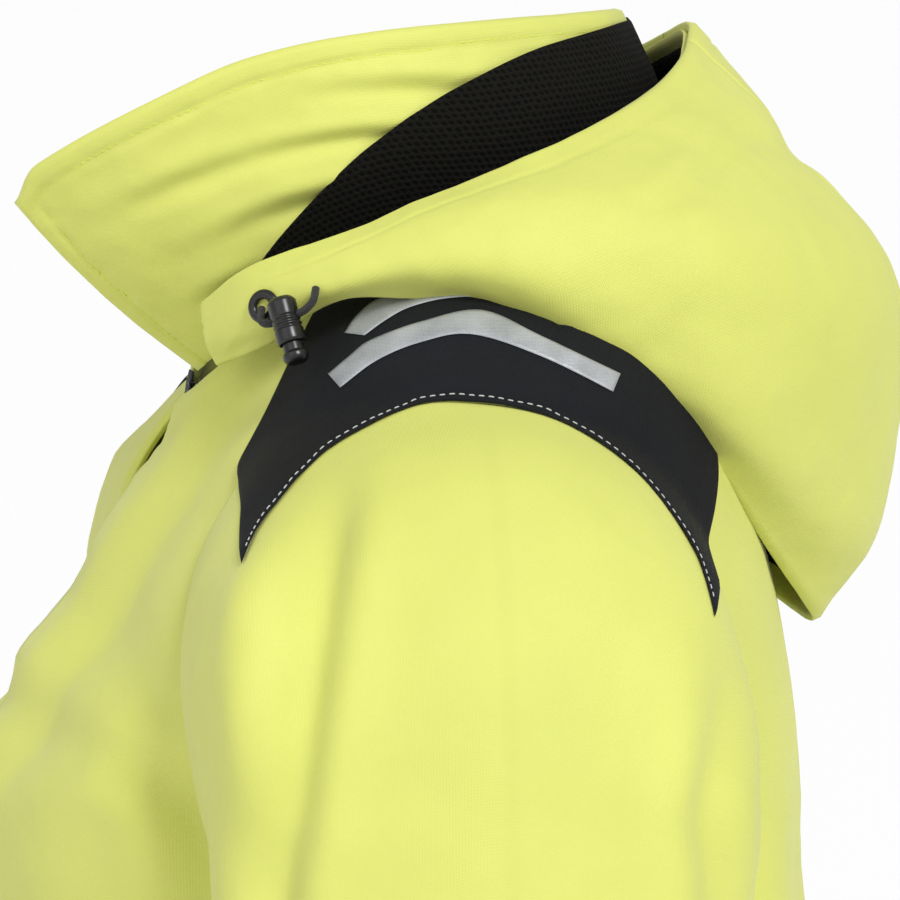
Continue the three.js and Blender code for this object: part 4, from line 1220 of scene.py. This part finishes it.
def makeHood():
    seam, brimShare, brimFrom = hood["seamStation"], hood["brimShare"], hood["brimFrom"]
    rows = np.linspace(0, 1, 90)
    for side, sign in sides.items():
        low, high = (16 - seam, 16) if sign > 0 else (0, seam)
        us = np.linspace(low, high, 190)

        piece, grid = shellPiece(f"hoodSide.{side}", hoodPoint, us, rows, 4.5, hoodRelief, roll=1.8)
        finish(piece, "shell", [f"hood_side_{side}"], "hood")
    piece, grid = shellPiece(
        "hoodCentre", hoodPoint, np.linspace(seam, 16 - seam, 50), np.linspace(0, 1, 120), 4.5, hoodRelief, roll=1.8
    )
    finish(piece, "shell", ["hood_centre"], "hood")
    piece, grid = shellPiece(
        "hoodBrim", hoodPoint, np.linspace(brimFrom, 16 - brimFrom, 130), np.linspace(0.004, brimShare, 30), 2.6,
        lambda grid: hoodRelief(grid) - 4.7, roll=1.2,
    )
    finish(piece, "shell", ["hood_brim"], "hood")
    lining = lambda grid: hoodRelief(grid) - 5.6 - 3.4 * (1 - smooth(np.abs(grid["U"] - 8), 2.4, 3.0)) * (
        1 - smooth(grid["V"], 0.25, 0.31)
    )
    piece, _ = shellPiece(
        "hoodLining", hoodPoint, np.linspace(0.5, 15.5, 180), np.linspace(0.03, 0.96, 50), 1.2, lining, roll=0.6
    )
    finish(piece, "knit_lining", ["hood_lining"], "hood")


makeHood()
print("hood made")

# ---- drawcord eyelets, locks and plungers ----
lockLook = {
    "eyeletOuter": 6.5, "eyeletInner": 2.8, "eyeletHeight": 2.0, "gap": 0.4,
    "radius": 5.5, "length": 18, "above": 6, "bore": 4.3, "boreDepth": 8.5,
    "stem": 3.9, "cap": 4.9, "inside": 4.6, "corner": 6.5, "lead": 4,
    "slope": {"hood": 38, "hem": 30},
}


def spun(name, profile, matrix, turns=40):  # a turned piece: profile of radius and height, in millimetres
    bpy.ops.object.select_all(action="DESELECT")
    mesh = bpy.data.meshes.new(name)
    points = [(r * mm, 0, h * mm) for r, h in profile]
    mesh.from_pydata(points, [(i, i + 1) for i in range(len(points) - 1)], [])
    piece = bpy.data.objects.new(name, mesh)
    bpy.context.scene.collection.objects.link(piece)
    piece.select_set(True)
    bpy.context.view_layer.objects.active = piece
    bpy.ops.object.mode_set(mode="EDIT")
    bpy.ops.mesh.select_all(action="SELECT")
    bpy.ops.mesh.spin(steps=turns, angle=2 * math.pi, center=(0, 0, 0), axis=(0, 0, 1))
    bpy.ops.mesh.select_all(action="SELECT")
    bpy.ops.mesh.remove_doubles(threshold=0.00002)
    bpy.ops.mesh.normals_make_consistent(inside=False)
    bpy.ops.object.mode_set(mode="OBJECT")
    mesh.transform(matrix)
    if matrix.determinant() < 0:
        mesh.flip_normals()
    bpy.ops.object.shade_smooth_by_angle(angle=math.radians(38))
    return piece


def rounded(points, radius=0.5, steps=3):  # a profile with its inner corners cut by small arcs
    out = [points[0]]
    for before, corner, after in zip(points, points[1:], points[2:]):
        b, c, a = map(np.array, (before, corner, after))
        inLength, outLength = np.linalg.norm(b - c), np.linalg.norm(a - c)
        cut = min(radius, inLength * 0.45, outLength * 0.45)
        start, end = c + (b - c) / inLength * cut, c + (a - c) / outLength * cut
        for k in range(steps + 1):
            t = k / steps
            out.append(tuple((1 - t) ** 2 * start + 2 * t * (1 - t) * c + t * t * end))
    return out + [points[-1]]


def axesMatrix(origin, x, y, z, sign):  # columns x, y, z in millimetres, mirrored for the right side
    matrix = Matrix.Identity(4)
    for column, axis in enumerate((x, y, z)):
        for row in range(3):
            matrix[row][column] = axis[row]
    for row in range(3):
        matrix[row][3] = origin[row] * mm
    return Matrix.Diagonal((sign, 1, 1, 1)) @ matrix


def makeLocks():
    k = lockLook
    for place, (origin, away, down, out) in framesOf.items():
        slope = math.radians(k["slope"][place])
        holeA = -(k["corner"] + k["radius"])
        reach = k["lead"] + k["corner"]
        lift = 2 * k["gap"] + k["eyeletHeight"]
        middle = origin + away * holeA + down * reach * math.cos(slope) + out * (lift + reach * math.sin(slope))
        bodyName = "hood" if place == "hood" else "root"
        base = [
            (k["eyeletInner"], k["gap"]), (k["eyeletOuter"], k["gap"]), (k["eyeletOuter"], k["gap"] + 0.9),
            (k["eyeletOuter"] - 1.2, k["gap"] + k["eyeletHeight"]), (k["eyeletInner"] + 0.9, k["gap"] + k["eyeletHeight"]),
            (k["eyeletInner"], k["gap"] + 1.2), (k["eyeletInner"], k["gap"]),
        ]
        barrel = [(0, -k["above"]), (k["radius"] - 1.4, -k["above"]), (k["radius"], -k["above"] + 1.6)]
        for h in (2.0, 4.0, 6.0):  # shallow grip grooves round the barrel
            barrel += [(k["radius"], h - 0.7), (k["radius"] - 0.45, h - 0.3), (k["radius"] - 0.45, h + 0.3), (k["radius"], h + 0.7)]
        top = k["length"] - k["above"]
        barrel += [
            (k["radius"], top - 0.9), (k["radius"] - 0.5, top), (k["bore"], top),
            (k["bore"], top - k["boreDepth"]), (0, top - k["boreDepth"]),
        ]
        head = [
            (0, top - k["inside"]), (k["stem"], top - k["inside"]), (k["stem"], top + 3.4), (k["cap"], top + 4),
            (k["cap"], top + 6.2), (k["cap"] * 0.72, top + 7.8), (0, top + 8),
        ]
        for side, sign in sides.items():
            ringMatrix = axesMatrix(origin, away, down, out, sign)
            piece = spun(f"{place}Eyelet.{side}", rounded(base, 0.5), ringMatrix, 44)
            finish(piece, "moulded_plastic", [f"{place}_eyelet_{side}"], bodyName)
            # a lock's own axis runs down the panel
            lockMatrix = axesMatrix(middle, away, out, down, sign)
            piece = spun(f"{place}Lock.{side}", rounded(barrel, 0.5), lockMatrix)
            finish(piece, "moulded_plastic", [f"{place}_lock_{side}"], bodyName)
            piece = spun(f"{place}Plunger.{side}", rounded(head, 0.7), lockMatrix)
            finish(piece, "moulded_plastic", [f"{place}_lock_plunger_{side}"], f"{place}_lock_plunger_{side}")


makeLocks()
print("locks made")

# ---- front zip ----
zipLook = {"inset": 1.0, "tape": 2.4, "inner": 1.5, "gap": 0.4, "pitch": 3.2, "tooth": (2.6, 2.6, 1.5), "lastRow": 9.86}


def edgeOf(section):
    return body["zipHalf"] + (body["neckHalf"] - body["zipHalf"]) * np.maximum(0, 1 - section / 5)


def makeZip():
    k = zipLook
    for side, sign in sides.items():

        def tape(section, share, sign=sign):
            point = bodyPoint(section, 0 * share)
            outer, inner = edgeOf(section) - k["gap"] + 3.5, edgeOf(section) - body["zipHalf"] + k["inner"]
            point[..., 0] = (inner + (outer - inner) * share) * sign
            return point

        relief = lambda grid: -k["inset"] - 0.2 - 0.25 * np.cos(grid["V"] * 40)
        piece, _ = shellPiece(f"zipTape.{side}", tape, sectionRows(150, k["lastRow"]), np.linspace(0, 1, 8), 1.6, relief, roll=0.5, flip=sign < 0)
        finish(piece, "webbing", [f"zip_tape_{side}"], "root")
    bpy.ops.object.select_all(action="DESELECT")
    bpy.ops.mesh.primitive_cube_add(size=1, location=(0, 0, 0))
    tooth = bpy.context.object
    tooth.scale = [c * mm for c in k["tooth"]]
    bpy.ops.object.transform_apply(location=False, rotation=False, scale=True)
    bpy.ops.object.mode_set(mode="EDIT")
    bpy.ops.mesh.select_all(action="SELECT")
    bpy.ops.mesh.bevel(offset=0.0004, segments=1, affect="EDGES")
    bpy.ops.object.mode_set(mode="OBJECT")
    shape = np.array([v.co for v in tooth.data.vertices])
    faces = [list(f.vertices) for f in tooth.data.polygons]
    bpy.data.objects.remove(tooth)
    rows = sectionRows(900, k["lastRow"])
    for side, sign in sides.items():
        line = bodyPoint(rows, np.zeros_like(rows))
        line[:, 0] = (edgeOf(rows) - body["zipHalf"] + 1.0) * sign
        run = np.concatenate([[0], np.cumsum(np.linalg.norm(np.diff(line, axis=0), axis=1))])
        start = k["pitch"] * (1.0 if sign > 0 else 1.5)
        points, all_ = [], []
        for s in np.arange(start, run[-1] - 3, k["pitch"]):
            at = np.array([np.interp(s, run, line[:, c]) for c in range(3)])
            ahead = np.array([np.interp(s + 2, run, line[:, c]) for c in range(3)]) - at
            ahead /= np.linalg.norm(ahead)
            across = np.cross(ahead, [0, 1, 0])
            across /= np.linalg.norm(across)
            deep = np.cross(across, ahead)
            basis = np.stack([across, deep, ahead])
            n = len(points) * len(shape)
            points.append(shape @ basis + (at - deep * np.sign(deep[1]) * -2.2) * mm)
            all_ += [[n + i for i in f] for f in faces]
        piece = addMesh(f"zipTeeth.{side}", np.concatenate(points), all_)
        fixNormals(piece)
        piece.data.polygons.foreach_set("use_smooth", [False] * len(piece.data.polygons))
        finish(piece, "moulded_plastic", (), "root")
    for name, slotName in (("zip_slider", "zip_metal"), ("zip_puller", "moulded_plastic"), ("zip_box", "moulded_plastic")):
        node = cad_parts[name]
        for slotIn in node.material_slots:
            slotIn.material = finishes[slotName]


makeZip()


def placketPoint(section, share):  # a draught strip behind the zip
    edge = edgeOf(section)
    start = edge - body["zipHalf"] - 22
    x = start + (edge + 30 - start) * share
    half = rowAt(body["sections"], section)[..., 0]
    point = bodySurface(np.arcsin((np.abs(x) / half) ** (1 / 0.85)), section)
    point[..., 0] = x
    return point


def makePlacket():
    relief = lambda grid: -8.6 + 0.5 * wrinkles(grid["P"], 40, 91)
    rows = sectionRows(170)
    piece, _ = shellPiece("innerStormFlap", placketPoint, rows[rows >= 5], np.linspace(0, 1, 16), 3.0, relief, roll=1.4)
    finish(piece, "lining", ["inner_storm_flap"], "root")


makePlacket()
print("zip made")

# ---- pockets ----
pocket = {"width": 128, "height": 175, "topZ": -520, "depth": 15, "wall": 2.2, "angles": (16, 46)}
flap = {"overhang": 3, "rise": 24, "drop": 38, "thickness": 3.0, "startDepth": 8.2}


def pocketAxes():
    a, b = (bodySurface(np.radians(np.array(float(t))), np.array(8.0)) for t in pocket["angles"])
    across = (b - a) * [1, 1, 0]
    across /= np.linalg.norm(across)
    origin = (a + b) / 2
    origin[2] = pocket["topZ"]
    return origin, across, np.array([-across[1], across[0], 0])


def makePockets():
    origin, across, inward = pocketAxes()

    def inFrame(x, depth, z, sign):
        point = origin + across * x[..., None] - inward * depth[..., None]
        point[..., 2] = pocket["topZ"] + z
        return point * [sign, 1, 1]

    for side, sign in sides.items():

        def bag(u, v, sign=sign):  # u across, v up from the bottom edge; the sides fold back to the panel
            across_, up = np.abs(u), v
            turnU, turnV = smooth(across_, 0.86, 1.0), 1 - smooth(up, 0.0, 0.1)
            x = np.sign(u) * pocket["width"] / 2 * np.minimum(1, across_ / 0.9)
            z = -pocket["height"] * (1 - np.clip((up - 0.06) / 0.94, 0, 1))
            fold = np.maximum(turnU, turnV)
            depth = pocket["depth"] * (1 - fold) - 9 * fold
            return inFrame(x, depth, z, sign)

        def puffed(grid):
            inside = (1 - smooth(np.abs(grid["U"]), 0.6, 0.88)) * smooth(grid["V"], 0.1, 0.4)
            seam = hump(np.abs(grid["U"]), 0.8, 0.012) * smooth(grid["V"], 0.1, 0.16)
            return -0.4 + 1.8 * inside * smooth(grid["V"], 1.0, 0.7) + 0.9 * wrinkles(grid["P"], 34, 101) * inside - 0.7 * seam

        us = np.concatenate([np.linspace(-1, -0.84, 22), np.linspace(-0.83, 0.83, 60), np.linspace(0.84, 1, 22)])
        vs = np.concatenate([np.linspace(0, 0.13, 16), np.linspace(0.15, 1, 70)])
        piece, _ = shellPiece(f"pocketBag.{side}", bag, us, vs, pocket["wall"], puffed, roll=1.0, flip=sign < 0)
        finish(piece, "shell", [f"pocket_{side}"], "root")

        front = pocket["depth"] + 0.4
        half = pocket["width"] / 2 + flap["overhang"]

        def cover(u, v, sign=sign):  # v runs from the sewn edge down to the free edge
            bend = smooth(v, 0.22, 0.46)
            z = flap["rise"] - (flap["rise"] + flap["drop"]) * v
            depth = flap["startDepth"] + (front - flap["startDepth"]) * bend
            return inFrame(half * u * (1 - 0.02 * smooth(v, 0.8, 1)), depth, z, sign)

        def flapRelief(grid):
            edge = np.minimum.reduce([grid["u0"], grid["u1"], grid["v1"]])
            return 3.0 + 0.6 * wrinkles(grid["P"], 24, 111) - 0.45 * hump(edge, 5, 1.1) - 0.45 * hump(grid["v0"], 4, 1.1)

        flapIn = cover if sign > 0 else (lambda u, v: cover(-u, v))
        piece, grid = shellPiece(
            f"pocketFlap.{side}", flapIn, np.linspace(-1, 1, 90), np.linspace(0, 1, 44), flap["thickness"] - 0.3, flapRelief,
            flip=True,
        )
        finish(piece, "yoke_fabric", [f"pocket_flap_{side}"], f"pocket_flap_{side}")
        outer, N = grid["outer"], grid["N"]
        line = [outer[i, 37] for i in range(5, 85)]
        thread = stitches(f"flapStitches.{side}", line, [N[i, 37] for i in range(5, 85)], 3.4, 0.68, 0.26, 0.1)
        finish(thread, "yoke_fabric", (), f"pocket_flap_{side}", material="paleThread")


makePockets()
print("pockets made")

# ---- hanger loop at the nape ----
hanger = {"halfWidth": 26, "drop": 12, "tape": 7, "thickness": 1.6}


def makeHanger():
    top = collarPoint(np.array(0.0), np.array(0.3))
    inset = 4.5 + 3 + 0.4 + 3
    turns = np.linspace(0, math.pi, 50)
    line = np.stack([
        -hanger["halfWidth"] * np.cos(turns), top[1] - inset - 3 - 5 * np.sin(turns), top[2] - hanger["drop"] * np.sin(turns)
    ], 1)
    tangent = np.gradient(line, axis=0)
    tangent /= np.linalg.norm(tangent, axis=1)[:, None]
    flat = np.cross(tangent, [0, 1, 0])
    flat /= np.linalg.norm(flat, axis=1)[:, None]
    thick = np.cross(tangent, flat)
    w, t = hanger["tape"] / 2, hanger["thickness"] / 2
    section = [(-w, -t * 0.5), (-w * 0.93, -t), (w * 0.93, -t), (w, -t * 0.5), (w, t * 0.5), (w * 0.93, t), (-w * 0.93, t), (-w, t * 0.5)]
    points = np.array([p + flat[i] * a + thick[i] * b for i, p in enumerate(line) for a, b in section])
    n = len(section)
    faces = [[i * n + k, i * n + (k + 1) % n, (i + 1) * n + (k + 1) % n, (i + 1) * n + k] for i in range(len(line) - 1) for k in range(n)]
    faces += [list(range(n))[::-1], [(len(line) - 1) * n + k for k in range(n)]]
    piece = addMesh("hangerLoop", points * mm, faces, points[:, [0, 2]] * mm)
    fixNormals(piece)
    piece.data.polygons.foreach_set("use_smooth", [False] * len(piece.data.polygons))
    finish(piece, "webbing", ["hanger_loop"], "root")


makeHanger()
print("hanger made")

# ---- floor ----
def makeFloor():
    bpy.ops.object.select_all(action="DESELECT")
    bpy.ops.mesh.primitive_plane_add(size=studio["floorSize"], location=(0, 0, cadBox[0][2] - 0.001))
    floor = bpy.context.object
    floor.name = "studioFloor"
    material, tree, shader = startMaterial("palePaper", 0.9)
    shader.inputs["Base Color"].default_value = linear("#FAFAFA")
    floor.data.materials.append(material)


makeFloor()
